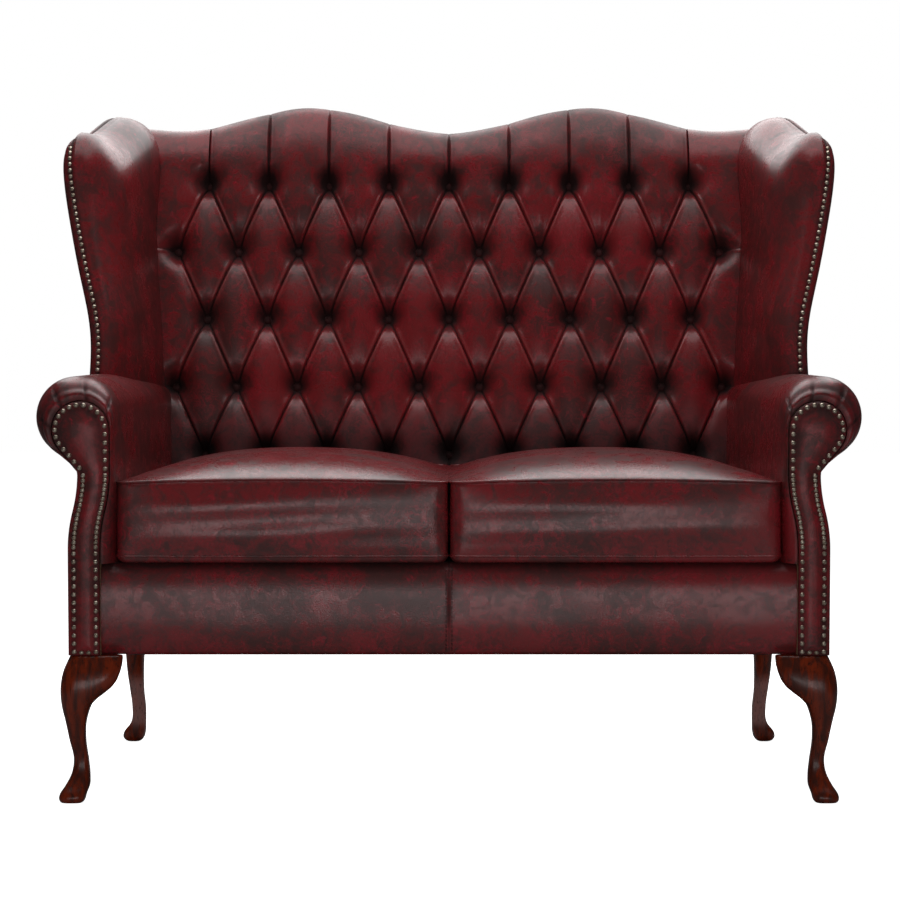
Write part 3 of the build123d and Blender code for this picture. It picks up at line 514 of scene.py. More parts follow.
# Panel from a zigzag of two pleats up to the crest (way 1) or down to the seat (way -1)
def halfPanel(gather, col, row, way):
    s, t = np.meshgrid(eased(2 * tufts["cells"]), eased(tufts["cells"] + 10))
    u, base = latticePoint(col + s, row + way * 2 * np.minimum(s, 1 - s))
    v = base + (panelEnd(u, way) - base) * t
    d = np.abs(v - base)
    aside = tufts["pitch"] * np.minimum(s, 1 - s)
    keep = 1.0
    channel = 1.0
    if way > 0:
        keep = 1 - tufts["pleatFade"] * smoothStep((d - tufts["pleatFadeAt"]) / 0.05)
        channel = tufts["channel"] - tufts["channelCalm"] * nearCrest(u, v, way)
    sink = 1 - leave(d) + (1 - twoToOne(s, d, tufts["join"])) * channel
    w, shade = tuftHeight(u, v, sink, np.minimum(aside, 0.4 * d), keep)
    grid = onBack(u, v, w)
    if way > 0:
        # painted shade in dark bands beside the upright pleats, fading up towards the crest
        flankShade = bell(aside, tufts["flankReach"]) * (1 - smoothStep((d - tufts["flankReach"]) / tufts["flankSpan"]))
        shade = np.clip(shade + tufts["flankShade"] * flankShade, -0.5, 1)
        roll, rollShade = crestRoll(u[-1], v[-1], w[-1], shade[-1])
        grid = np.concatenate([grid, roll])
        shade = np.concatenate([shade, rollShade])
    gather.sheet(grid, shade)


# Crest roll over the top of a panel: round in front, square behind, with painted shade along the rim that also dulls it
def crestRoll(u, v, w, shade):
    front = np.linspace(0, np.pi / 2, 16)[1:]
    behind = np.pi - np.pi / 2 * np.linspace(1, 0, 15)[1:] ** 1.4
    turn = np.concatenate([front, behind])[:, None]
    mid = (w + tufts["rollBack"]) / 2
    half = (w - tufts["rollBack"]) / 2
    rear = turn > np.pi / 2
    lift = np.abs(np.sin(turn)) ** np.where(rear, tufts["rollSquare"], tufts["rollRound"])
    run = np.where(rear, np.cos(turn), np.abs(np.cos(turn)) ** tufts["rollRound"])
    rim = tufts["rimShade"] * smoothStep((turn - 0.95) / 0.45) * (1 - 0.7 * smoothStep((turn - 1.7) / 0.6))
    shade = shade[None] * np.clip(1 - turn / 1.6, 0, 1) + rim
    return onBack(u[None], v[None] + rollHeight(u)[None] * lift, mid + half * run), shade


# Between the level pleats of the second and fourth rows, out to the wing
def sidePanel(gather):
    rows, t = np.meshgrid(1 + 2 * eased(2 * tufts["cells"]), eased(tufts["cells"]))
    base, v = latticePoint(4 + 0.5 * np.abs(rows - 2), rows)
    end = padHalf(v) + tufts["sideGap"]
    u = base + (end - base) * t
    d = u - base
    s = (rows - 1) / 2
    ease = offPleat(d)
    sink = 1 - leave(d, tufts["sideReach"]) + (1 - twoToOne(s, d, tufts["sideJoin"])) * (1 - tufts["sideFlat"] * ease)
    near = np.minimum(2 * tufts["rowPitch"] * np.minimum(s, 1 - s), 0.9 * d)
    w, paintedShadeAndRub = tuftHeight(u, v, sink, near, 1 - tufts["sideKeep"] * ease)
    gather.sheet(onBack(u, v, w), paintedShadeAndRub)


# Corner between the last upright pleat and the first level pleat, at the crest or at the seat
def cornerPanel(gather, way):
    s, t = np.meshgrid(eased(2 * tufts["cells"]), eased(tufts["cells"] + 6))
    row = 0 if way > 0 else 4
    u0, v0 = latticePoint(4 + 0.5 * s, row + way * s)
    rim = 4 * tufts["pitch"]
    reach = padHalf(0.85 if way > 0 else 0.12) + tufts["sideGap"]
    upright = np.clip(s / 0.5, 0, 1)
    side = np.clip((s - 0.5) / 0.5, 0, 1)
    u1 = np.where(s < 0.5, rim + (reach - rim) * upright, 0.0)
    v1 = panelEnd(u1, way)
    vLevel = latticePoint(0, 1 if way > 0 else 3)[1]
    vEnd = panelEnd(reach, way) + (vLevel - panelEnd(reach, way)) * side
    u1 = np.where(s < 0.5, u1, padHalf(vEnd) + tufts["sideGap"])
    v1 = np.where(s < 0.5, v1, vEnd)
    u = u0 + (u1 - u0) * t
    v = v0 + (v1 - v0) * t
    d = np.hypot(u - u0, v - v0)
    ease = offPleat(d)
    level = smoothStep((s - 0.45) / 0.3) * ease
    near = np.minimum(0.9 * d, np.minimum(s, 1 - s) * np.maximum(d, 0.03) * 1.6)
    channel = (1 - 0.8 * nearCrest(u, v, way)) * (1 - tufts["sideFlat"] * level)
    w, paintedShadeAndRub = tuftHeight(u, v, 1 - leave(d, tufts["sideReach"]) + (1 - tuft(s)) * channel, near, 1 - tufts["sideKeep"] * ease)
    gather.sheet(onBack(u, v, w), paintedShadeAndRub)
    if way < 0:
        return
    part = s[-1] <= 0.501
    u, v, w = u[-1][part], v[-1][part], w[-1][part]
    gather.sheet(np.concatenate([onBack(u, v, w)[None], crestRoll(u, v, w, 0 * u)[0]]))
    # the roll runs on behind the wing, where its front stays inside the wing
    u = np.linspace(u[-1], tufts["wingEnd"], 9)
    v = panelEnd(u, way)
    w = np.full(9, w[-1])
    over = np.concatenate([onBack(u, v - 0.05, w - 0.01)[None], onBack(u, v, w)[None], crestRoll(u, v, w, 0 * u)[0]])
    inside = smoothStep((0.03 - aheadOfBack(over)) / 0.03)
    over[..., 0] = np.minimum(over[..., 0], tufts["wingFront"] + (tufts["wingEnd"] - tufts["wingFront"]) * inside)
    gather.sheet(over)
    end = over[:, -1]
    gather.sheet(np.stack([end, end * 0.5 + end.mean(0) * 0.5, np.tile(end.mean(0), (len(end), 1))]))


def buildBack():
    whole = Gather()
    for row in (1, 2, 3):
        for step in range(9 if row % 2 else 8):
            diamond(whole, step - (4 if row % 2 else 3.5), row)
    for step in range(8):
        halfPanel(whole, step - 4, 0, 1)
        halfPanel(whole, step - 4, 4, -1)
    side = Gather()
    sidePanel(side)
    cornerPanel(side, 1)
    cornerPanel(side, -1)
    whole.join(side)
    whole.join(side.mirrored())
    makePiece("back_upholstery", whole, leather, "oxblood_leather", replaced=["back_pad"], fill=0.75, sharp=58)


buttonShape = dict(radius=0.0092, rise=0.0065, lift=0.0025, ring=18)


def buildButtons():
    gather = Gather()
    profile = np.array([(1.0, -0.9), (1.06, -0.3), (1.0, 0.15), (0.86, 0.5), (0.64, 0.78), (0.36, 0.95), (0.02, 1.0)])
    turn = np.linspace(0, 2 * np.pi, buttonShape["ring"], endpoint=False)
    for row in range(tufts["rows"]):
        for col in range(9 + row % 2):
            u, v = latticePoint(col - (8 + row % 2) / 2, row)
            r = buttonShape["radius"] * profile[:, 0, None]
            w = tufts["pit"] + buttonShape["lift"] + buttonShape["rise"] * profile[:, 1, None] + 0 * turn
            # the buttons are painted dark, as painted shade of their pits
            gather.sheet(onBack(u + r * np.cos(turn), v + r * np.sin(turn), w), 0.9, wrap=True)
    makePiece("back_buttons_covered", gather, leather, "oxblood_leather", replaced=["back_buttons"])


buildBack()
buildButtons()
print("back ready")


# Scroll facing outline: a straight band, an S curve and a round scroll, right-hand side, in X and Z
facing = dict(outer=0.5785, width=0.044, shift=0.015, neckLow=0.388, neckHigh=0.505, scrollX=0.563, scrollZ=0.571,
              scrollR=0.0435, under=41.0, front=-0.399, back=-0.389, pillow=0.0034)


def neckShift(z):
    half = facing["shift"] / 2
    rise = (facing["neckHigh"] - facing["neckLow"]) / 2
    radius = (half * half + rise * rise) / (2 * half)
    z = np.clip(z, facing["neckLow"], facing["neckHigh"])
    low = radius - np.sqrt(radius ** 2 - np.clip(z - facing["neckLow"], 0, rise) ** 2)
    high = 2 * half - radius + np.sqrt(radius ** 2 - np.clip(facing["neckHigh"] - z, 0, rise) ** 2)
    return np.where(z < facing["neckLow"] + rise, low, high)


def facingEdges():
    f = facing
    inner = f["outer"] - f["width"]
    centre = (f["scrollX"], f["scrollZ"])
    mid = (f["neckLow"] + f["neckHigh"]) / 2
    climb = [np.linspace(f["neckLow"], mid, 16), np.linspace(mid, f["neckHigh"], 16)]
    turn = math.radians(f["under"])
    under = (centre[0] + f["scrollR"] * math.cos(turn), centre[1] - f["scrollR"] * math.sin(turn))
    return [
        np.array([(inner, legTop), (f["outer"], legTop)]),
        np.array([(f["outer"], legTop), (f["outer"], f["neckLow"])]),
        np.stack([f["outer"] - neckShift(climb[0]), climb[0]], -1),
        np.stack([f["outer"] - neckShift(climb[1]), climb[1]], -1),
        np.array([(f["outer"] - f["shift"], f["neckHigh"]), under]),
        arc(centre, f["scrollR"], -f["under"], 90, 40),
        arc(centre, f["scrollR"], 90, 180, 26),
        np.array([(centre[0] - f["scrollR"], centre[1]), (inner - f["shift"], f["neckHigh"])]),
        np.stack([inner - neckShift(climb[1][::-1]), climb[1][::-1]], -1),
        np.stack([inner - neckShift(climb[0][::-1]), climb[0][::-1]], -1),
        np.array([(inner, f["neckLow"]), (inner, legTop)]),
    ]


def buildFacing():
    counts = [max(5, int(np.ptp(edge, axis=0).max() / 0.004) + 2) for edge in facingEdges()]
    loop = np.concatenate([resample(edge, count)[:-1] for edge, count in zip(facingEdges(), counts)])
    level = np.clip(loop[:, 1], legTop + 0.020, facing["scrollZ"])
    spine = facing["outer"] - facing["width"] / 2 - neckShift(level)
    climb = smoothStep((level - facing["neckHigh"]) / (facing["scrollZ"] - facing["neckHigh"]))
    target = np.stack([spine + (facing["scrollX"] - spine) * climb, level], -1)
    front = facing["front"]
    steps = ((0.0, facing["back"]), (0.0, front + 0.004), (0.05, front + 0.0012), (0.15, front), (0.30, front - 0.0002),
             (0.44, front - 0.0016), (0.60, front - facing["pillow"]), (0.80, front - facing["pillow"] - 0.0010))
    rows = []
    for inset, y in steps:
        flat = loop + (target - loop) * inset
        rows.append(np.stack([flat[:, 0], np.full(len(flat), y), flat[:, 1]], -1))
    gather = Gather()
    # painted shade down the facing's edge and round its nail line, fading into the middle
    paintedShadeAndRub = np.array([0.8, 0.5, 0.35, 0.45, 0.6, 0.25, 0.0, 0.0])[:, None]
    gather.sheet(np.array(rows), np.repeat(paintedShadeAndRub, len(loop), 1), wrap=True)
    gather.cap(rows[-1])
    makePair("scroll_facing", gather, panelLeather, "oxblood_leather", replaced=["arm_facing"], fill=0.8)


nailShape = dict(radius=0.0038, rise=0.0029, sides=14, pitch=0.0127, close=0.0077, foot=0.012, margin=0.0055,
                 wing=0.01075, wingIn=0.0133, wingTurn=0.0146, wingDrop=0.0105, wingLow=0.6557)


def dome(gather, place, axis):
    axis = unit(np.asarray(axis, float))
    side = unit(np.cross(axis, (0.0, 0.0, 1.0) if abs(axis[2]) < 0.8 else (1.0, 0.0, 0.0)))
    other = np.cross(axis, side)
    profile = np.array([(1.0, -0.35), (1.0, 0.1), (0.93, 0.38), (0.76, 0.66), (0.5, 0.88), (0.22, 0.98), (0.01, 1.0)])
    turn = np.linspace(0, 2 * np.pi, nailShape["sides"], endpoint=False)
    ring = side * np.cos(turn)[:, None] + other * np.sin(turn)[:, None]
    gather.sheet(np.asarray(place) + nailShape["radius"] * profile[:, 0, None, None] * ring
                 + nailShape["rise"] * profile[:, 1, None, None] * axis, wrap=True)


# Evenly spaced places along an edge, with the heading at each
def spread(edge, pitch):
    count = max(1, round(float(np.linalg.norm(np.diff(edge, axis=0), axis=1).sum()) / pitch))
    fine = resample(edge, 40 * count + 1)
    at = 20 + 40 * np.arange(count)
    return fine[at], unit(fine[at + 1] - fine[at - 1])


def buildFacingNails():
    gather = Gather()
    for index, edge in enumerate(facingEdges()):
        gap = "foot" if index == 0 else "close" if index in (2, 3, 8, 9) else "pitch"  # closer on the S curves
        places, heading = spread(edge, nailShape[gap])
        if index == 0:
            places, heading = places[1:-1], heading[1:-1]
        spots = places + np.stack([-heading[:, 1], heading[:, 0]], -1) * nailShape["margin"]
        for x, z in spots:
            dome(gather, (x, facing["front"] + 0.0002, z), (0, -1, 0))
    makePair("scroll_nails", gather, brass, "antique_brass", replaced=["arm_nails"])


buildFacing()
buildFacingNails()


# Arm: inner face, broad inner shoulder, outer roll, and a pleated nose gathered in behind the facing
armShape = dict(rollX=0.575, rollZ=0.590, rollR=0.062, innerR=0.058, wrap=62.0, neckX=0.5675, neckZ=0.5156,
                noseStart=-0.338, noseEnd=-0.3925, rear=-0.0265, clear=0.0015, puff=0.004, points=132,
                pleats=(0.10, 0.27, 0.45, 0.62, 0.80), pleatDepth=0.0020, ringAt=56, ring=0.0014, beadAt=74, bead=0.0012)


def armSection(y, count):
    a = armShape
    inner = armInner(y)
    top = a["rollZ"] + a["rollR"]
    face = np.array([(inner, deckTop), (inner, top - a["innerR"])])
    shoulder = arc((inner + a["innerR"], top - a["innerR"]), a["innerR"], 180, 90, 20)
    roll = arc((a["rollX"], a["rollZ"]), a["rollR"], 90, -a["wrap"], 44)
    rest = np.concatenate([shoulder, roll[1:], [(a["neckX"], a["neckZ"])]])
    low = resample(face, count // 3)
    low[:, 0] -= a["puff"] * np.sin(np.pi * np.linspace(0, 1, len(low))) ** 2
    return np.concatenate([low[:-1], resample(rest, count - len(low) + 1)])


def noseSection(count):
    edges = facingEdges()
    inner = facing["outer"] - facing["width"]
    scroll = (inner - facing["shift"], facing["scrollZ"])
    face = np.concatenate([[(inner, deckTop)], edges[9][::-1], edges[8][::-1][1:], [scroll]])
    rest = np.concatenate([edges[6][::-1], edges[5][::-1][1:], edges[4][::-1][1:]])
    low = resample(face, count // 3)
    line = np.concatenate([low[:-1], resample(rest, count - len(low) + 1)])
    ahead = unit(np.gradient(line, axis=0))
    return line + np.stack([-ahead[:, 1], ahead[:, 0]], -1) * armShape["clear"]


def buildArm():
    a = armShape
    count = a["points"]
    full = armSection(a["noseStart"], count)
    nose = noseSection(count)
    outward = unit(full - nose)
    along = np.r_[np.zeros(count // 3 - 1), np.linspace(0, 1, count - count // 3 + 1)]
    pleats = sum(bell(along - spot, 0.009) for spot in a["pleats"]) * (along > 0)
    rows = []
    paintedNoseShade = []
    for turn in np.linspace(np.pi / 2, 0, 26)[:-1]:
        angle = np.degrees(turn)
        flat = full + (nose - full) * (1 - np.cos(turn))
        y = a["noseStart"] + (a["noseEnd"] - a["noseStart"]) * np.sin(turn)
        cut = pleats * smoothStep((np.sin(turn) - 0.3) / 0.5)
        ring = bell(angle - a["ringAt"], 7.0) * (along > 0)
        bead = bell(angle - a["beadAt"], 9.0) * (along > 0)
        flat = flat + outward * (a["bead"] * bead - a["ring"] * ring - a["pleatDepth"] * cut)[:, None]
        rows.append(np.stack([flat[:, 0], y - 0.0022 * bead + 0.0012 * ring + 0.0014 * cut, flat[:, 1]], -1))
        # painted shade in the nose's pleats, its ring crease and along its first line
        paintedNoseShade.append(np.clip(0.7 * cut + 0.45 * ring + 0.5 * bell(angle - 90, 6.0), 0, 0.9))
    last = backFaceY(full[:, 1], a["rear"])
    share = np.clip((a["rollX"] - full[:, 0]) / (a["rollX"] - armInner(a["noseStart"])), 0, 1)
    for step in np.linspace(0, 1, 46):
        y = a["noseStart"] + (last - a["noseStart"]) * step
        inner = armInner(y) - armInner(a["noseStart"])
        rows.append(np.stack([full[:, 0] + inner * share, y, full[:, 1]], -1))
        paintedNoseShade.append(np.zeros(count))
    gather = Gather()
    gather.sheet(np.array(rows), np.array(paintedNoseShade))
    tail = rows[-1]
    middle = tail.mean(0)
    inset = tail + (middle - tail) * 0.08 + (0, 0.004, 0)
    gather.sheet(np.array([tail, inset, np.tile(middle + (0, 0.005, 0), (count, 1))]))
    makePair("arm_upholstery", gather, leather, "oxblood_leather", replaced=["arm_pad"], fill=0.75, weld=0.00008)


outsideArm = dict(front=-0.3965, rear=-0.0295, proud=0.0035, swell=0.0045, turnIn=0.006, flange=0.861)


def buildOutsideArm():
    o = outsideArm
    height = np.r_[legTop + 0.0005, np.linspace(legTop + 0.006, 0.514, 40), 0.518, 0.5225, 0.528]
    flange = o["flange"] * np.clip(height - facing["neckHigh"], 0, None)
    x = facing["outer"] + 0.0005 - neckShift(height)
    puff = np.sin(np.pi * np.clip((height - legTop) / 0.29, 0, 1)) ** 0.5
    last = backFaceY(height, o["rear"])
    rows = []
    for step in eased(44):
        y = o["front"] + (last - o["front"]) * step
        swell = o["proud"] + o["swell"] * puff * math.sin(math.pi * step) ** 0.5
        rows.append(np.stack([x + swell + flange * smoothStep((y - o["front"]) / o["turnIn"]), y, height], -1))
    turnIn = (o["turnIn"], 0, 0)
    gather = Gather()
    gather.sheet(np.array([rows[0] - turnIn, *rows, rows[-1] - turnIn]))
    makePair("outside_arm_leather", gather, panelLeather, "oxblood_leather", replaced=["outside_arm"], fill=0.9)


buildArm()
buildOutsideArm()
print("arms ready")


# Wings: padded inner face with a broad roll on top, a tight roll down the front, and a nailed outer panel
splay = math.radians(4.6)
lean = math.radians(6.4)
wing = dict(origin=(0.538, 0.26376, 0.591), ahead=(math.sin(splay), -math.cos(splay), 0.0),
            inward=(-math.cos(splay) * math.cos(lean), -math.sin(splay) * math.cos(lean), math.sin(lean)),
            foot=(0.361, 0.0), shoulder=(0.272, 0.456), corner=0.060, ear=0.028, earRise=0.0125, rear=0.507, tuck=0.022,
            padBack=0.052, padTop=0.004, padFront=0.026, roll=0.085, outer=-0.0272, backPlane=-0.0245, bulge=0.004,
            flare=((0.016, 0.13), (-0.010, 0.40)), flareReach=0.10, cells=(84, 72), centre=(0.12, 0.24))
wing["up"] = tuple(np.cross(wing["inward"], wing["ahead"]))


def onWing(p, q, n):
    p, q, n = (np.asarray(value, float)[..., None] for value in np.broadcast_arrays(p, q, n))
    n = n + wing["tuck"] * smoothStep((0.20 - p) / 0.20) * smoothStep((p + 0.13) / 0.11) * smoothStep((q - 0.28) / 0.22)
    n = n + np.clip(p / 0.30, 0, 1) * sum(size * bell(q - at, wing["flareReach"]) for size, at in wing["flare"])
    return np.array(wing["origin"]) + p * np.array(wing["ahead"]) + q * np.array(wing["up"]) + n * np.array(wing["inward"])


# Where the wing meets the plane w forward of the back frame
def wingRear(q, w):
    z = wing["origin"][2] + q * wing["up"][2]
    return (wing["origin"][1] + q * wing["up"][1] - backFaceY(z, w)) / -wing["ahead"][1]


# How far the ear's pillow stands out over the edge, less towards the outer face
def earLift(p, q, n):
    return wing["earRise"] * bell(p - 0.232, 0.070) * smoothStep((q - 0.35) / 0.08) * smoothStep((n + 0.024) / 0.024)


def wingEdges():
    foot = np.array(wing["foot"])
    shoulder = np.array(wing["shoulder"])
    start = shoulder - unit(shoulder - foot) * wing["corner"]
    finish = shoulder - (wing["corner"], 0)
    t = np.linspace(0, 1, 24)[:, None]
    bend = (1 - t) ** 2 * start + 2 * t * (1 - t) * shoulder + t * t * finish
    slide = np.linspace(0, 1, 30)
    top = np.stack([finish[0] * (1 - slide), finish[1] + smoothStep(slide) * (wing["rear"] - finish[1])], -1)
    return [np.array([foot, start]), bend, top]


# Points at the given shares of an evenly divided line
def pick(points, shares):
    steps = np.linspace(0, 1, len(points))
    return np.stack([np.interp(shares, steps, points[:, k]) for k in (0, 1)], -1)


def buildWing():
    line, bend, top = wingEdges()
    half = len(bend) // 2
    tail = np.array([(wingRear(wing["rear"], -0.022), wing["rear"])])
    front = np.concatenate([resample(line, 40)[:-1], bend[:half + 1]])
    head = np.concatenate([bend[half:], top[1:], tail])
    rows, cols = wing["cells"]
    up, across = (1 - (1 - np.linspace(0, 1, count)) ** 1.7 for count in (rows, cols))
    # net between the back, the front edge, the arm and the top
    right = pick(resample(front, rows), up)
    upper = pick(resample(head, cols)[::-1], across)
    left = np.stack([wingRear(up * wing["rear"], wing["backPlane"]), up * wing["rear"]], -1)
    upper[:, 0] += (left[-1, 0] - upper[0, 0]) * (1 - across)
    floor = np.stack([left[0, 0] + (right[0, 0] - left[0, 0]) * across, 0 * across], -1)
    s = across[None, :, None]
    t = up[:, None, None]
    corners = (1 - s) * (1 - t) * left[0] + s * (1 - t) * right[0] + (1 - s) * t * left[-1] + s * t * right[-1]
    flat = (1 - s) * left[:, None] + s * right[:, None] + (1 - t) * floor[None] + t * upper[None] - corners
    rim = np.concatenate([right, upper[::-1][1:]])
    gaps = np.linalg.norm(flat.reshape(-1, 1, 2) - rim[None], axis=2)
    nearest = gaps.argmin(1).reshape(rows, cols)
    d = gaps.min(1).reshape(rows, cols)
    p = flat[..., 0]
    q = flat[..., 1]
    rear = wing["padBack"] + wing["padTop"] * np.clip(q / 0.5, 0, 1)
    depth = rear + (wing["padFront"] - rear) * np.clip(p / 0.371, -0.15, 1)
    swell = np.sin(np.pi * np.clip((p + 0.08) / 0.42, 0, 1)) * np.sin(np.pi * np.clip(q / 0.6, 0, 1))
    depth = depth + wing["bulge"] * swell + wing["ear"] * bell(p - 0.20, 0.11) * bell(q - 0.41, 0.09)
    reach = np.clip(d / wing["roll"], 0, 1)
    rise = depth * np.sqrt(np.clip(1 - (1 - reach) ** 2, 0, 1))
    for _ in range(90):
        rise[1:-1, 1:-1] = 0.25 * (rise[2:, 1:-1] + rise[:-2, 1:-1] + rise[1:-1, 2:] + rise[1:-1, :-2])
    ahead = unit(np.gradient(rim, axis=0))
    outward = np.stack([ahead[:, 1], -ahead[:, 0]], -1)
    pillow = earLift(*rim.T, 0.0)[nearest] * (0.5 + 0.5 * np.cos(np.pi * np.clip(rise / 0.060, 0, 1)))
    stretch = outward[nearest] * pillow[..., None]
    face = onWing(p + stretch[..., 0], q + stretch[..., 1], rise)
    gather = Gather()
    # painted shade on the face near where it meets the back
    gather.sheet(face, 0.7 * smoothStep((0.080 - aheadOfBack(face)) / 0.022) * smoothStep((d - 0.012) / 0.03))
    # rolled edge: outward, inward and shade of each line
    lip = ((0.0, 0.0, 0.0), (0.0016, -0.0035, 0.0), (0.0018, -0.0075, 0.1), (0.0006, -0.0105, 0.7), (0.0002, -0.0135, 0.8),
           (0.0014, -0.0165, 0.3), (0.0008, -0.0205, 0.0), (-0.0035, -0.0250, 0.0), (-0.010, wing["outer"], 0.0))
    strip = np.array([onWing(*(rim + outward * (o + earLift(*rim.T, n))[:, None]).T, n) for o, n, shade in lip])
    gather.sheet(strip, np.repeat(np.array([[shade] for o, n, shade in lip]), len(rim), 1))
    drawn = flat + unit(np.array(wing["centre"]) - flat) * 0.010 * np.clip(1 - d / 0.012, 0, 1)[..., None]
    outer = onWing(drawn[..., 0], drawn[..., 1], wing["outer"] - 0.005 * np.clip(d / 0.10, 0, 1) ** 0.6)
    gather.sheet(outer)
    gather.sheet(np.stack([face[:, 0], outer[:, 0]]))
    gather.cap(np.concatenate([face[rows // 2:, 0], strip[1:, -1], outer[rows // 2:, 0][::-1]]) + (0, 0.0012, 0))
    makePair("wing_upholstery", gather, leather, "oxblood_leather", replaced=["wing_pad", "outside_wing", "wing_board"],
             fill=0.75, weld=0.0001)


def buildWingNails():
    ahead, up, inward = (np.array(wing[key]) for key in ("ahead", "up", "inward"))
    gather = Gather()
    for index, edge in enumerate(wingEdges()):
        places, heading = spread(edge, nailShape["wing"])
        outward = np.stack([heading[:, 1], -heading[:, 0]], -1)
        turned = smoothStep((index - 1 + np.linspace(0, 1, len(places)) - 0.35) / 0.65)
        depth = -nailShape["wingIn"] - nailShape["wingTurn"] * turned
        out = 0.0002 - nailShape["wingDrop"] * turned + earLift(*places.T, depth)
        for (p, q), (a, b), n, side in zip(places + outward * out[:, None], outward, depth, turned):
            spot = onWing(p, q, n)
            if spot[2] > nailShape["wingLow"]:
                dome(gather, spot, (1 - side) * (a * ahead + b * up) - side * inward)
    makePair("wing_nail_heads", gather, brass, "antique_brass", replaced=["wing_nails"])


buildWing()
buildWingNails()
print("wings ready")


# Front border with a double-stitched centre seam
border = dict(half=0.5344, low=0.2244, high=0.3655, front=-0.3835, edge=-0.3700, back=-0.3405, seam=0.0045,
              stitch=0.0052, stitchPitch=0.0072, thread=0.0007)


def borderFace(height):
    return border["front"] + (border["edge"] - border["front"]) * np.abs(2 * height - 1) ** 3.0


def buildBorder():
    b = border
    height = np.linspace(0, 1, 26)
    z = b["low"] + (b["high"] - b["low"]) * height
    y = borderFace(height)
    y[0] += 0.0012
    y[-1] += 0.006
    y[-2] += 0.002
    profile = np.concatenate([[(b["back"], b["low"])], np.stack([y, z], -1), [(b["back"], b["high"] + 0.0002)]])
    x = np.concatenate([np.linspace(-b["half"], -0.02, 90), np.linspace(-0.016, 0.016, 33), np.linspace(0.02, b["half"], 90)])
    wave = 0.0011 * np.sin(x * 17.0 + 0.6) + 0.0008 * np.sin(x * 41.0 + 2.0)
    groove = 0.0016 * bell(x, 0.0013) - 0.0005 * bell(np.abs(x) - 0.005, 0.003)
    body = np.r_[0, np.sin(np.pi * height) ** 0.5, 0]
    grid = np.zeros((len(profile), len(x), 3))
    grid[..., 0] = x
    grid[..., 1] = profile[:, 0, None] + body[:, None] * (wave * np.r_[0, height, 0][:, None] + groove)
    grid[..., 2] = profile[:, 1, None]
    # painted shade in the centre seam, painted shadow along the top under the cushion, and the turned-back rows dark
    shade = 0.5 * bell(x, 0.0010) + 0.75 * np.r_[1, smoothStep((height - 0.86) / 0.14), 1][:, None]
    gather = Gather()
    gather.sheet(grid, np.clip(shade, 0, 0.9))
    makePiece("front_border_leather", gather, seatLeather, "oxblood_leather", replaced=["front_border"], fill=0.8)
    stitches = Gather()
    for side in (-1, 1):
        for low in np.arange(b["low"] + 0.006, b["high"] - 0.012, b["stitchPitch"]):
            t = np.linspace(0, 1, 7)
            z = low + b["stitch"] * t
            y = borderFace((z - b["low"]) / (b["high"] - b["low"])) - 0.0014 - 0.0006 * np.sin(np.pi * t)
            y[[0, -1]] += 0.002
            stitches.tube(np.stack([np.full(7, side * b["seam"]), y, z], -1), b["thread"], 6)
    makePiece("front_border_stitches", stitches, thread, "oxblood_leather")


buildBorder()


# Seat cushions: boxed covers swollen by simulation between their seams
seat = dict(inner=0.0018, gap=0.0016, low=0.3668, lowSeam=0.3770, seam=0.4900, bow=0.005, crown=0.037, start=0.85,
            front=-0.3852, rear=0.0735, wide=0.49, corner=0.018, pillow=0.009, cells=(60, 62), levels=15, welt=0.0019, cap=0.008)
swelling = dict(quality=6, mass=0.3, tension_stiffness=14, compression_stiffness=14, shear_stiffness=6, bending_stiffness=1.2,
                use_pressure=True, uniform_pressure_force=4.0, vertex_group_mass="held")


def roundCorner(a, b):
    return a * np.sqrt(1 - b * b / 2), b * np.sqrt(1 - a * a / 2)


# Grid over the seat of the right cushion with rounded corners: position from front to back and inner to outer
def cushionPlan():
    steps = [eased(count) * 0.35 + np.linspace(0, 1, count) * 0.65 for count in seat["cells"]]
    t, s = np.meshgrid(*steps, indexing="ij")
    depth = backFaceY(seat["seam"], seat["rear"]) - seat["front"]
    y = t * depth
    wide = seat["wide"]
    x = s * wide
    r = seat["corner"]
    dx = np.minimum(x, wide - x)
    dy = np.minimum(y, depth - y)
    near = (dx < r) & (dy < r)
    a, b = roundCorner(np.clip(1 - dx / r, 0, 1), np.clip(1 - dy / r, 0, 1))
    dx2 = np.where(near, r * (1 - a), dx)
    dy2 = np.where(near, r * (1 - b), dy)
    x = np.where(x < wide / 2, dx2, wide - dx2)
    y = np.where(y < depth / 2, dy2, depth - dy2)
    return x / wide, y / depth, s, t


# Place of the plan point (x, y in 0 to 1) at height z; the rear follows the raked back
def cushionAt(x, y, z):
    rear = backFaceY(z, seat["rear"])
    yy = seat["front"] + (rear - seat["front"]) * y
    outer = armInner(yy) - seat["gap"]
    return np.stack([seat["inner"] + (outer - seat["inner"]) * x, yy, np.broadcast_to(z, np.shape(x)) + 0 * yy], -1)


# Boundary of a grid as one loop: front, outer side, back, inner side
def border1D(grid):
    return np.concatenate([grid[0, :-1], grid[:-1, -1], grid[-1, :0:-1], grid[:0:-1, 0]])


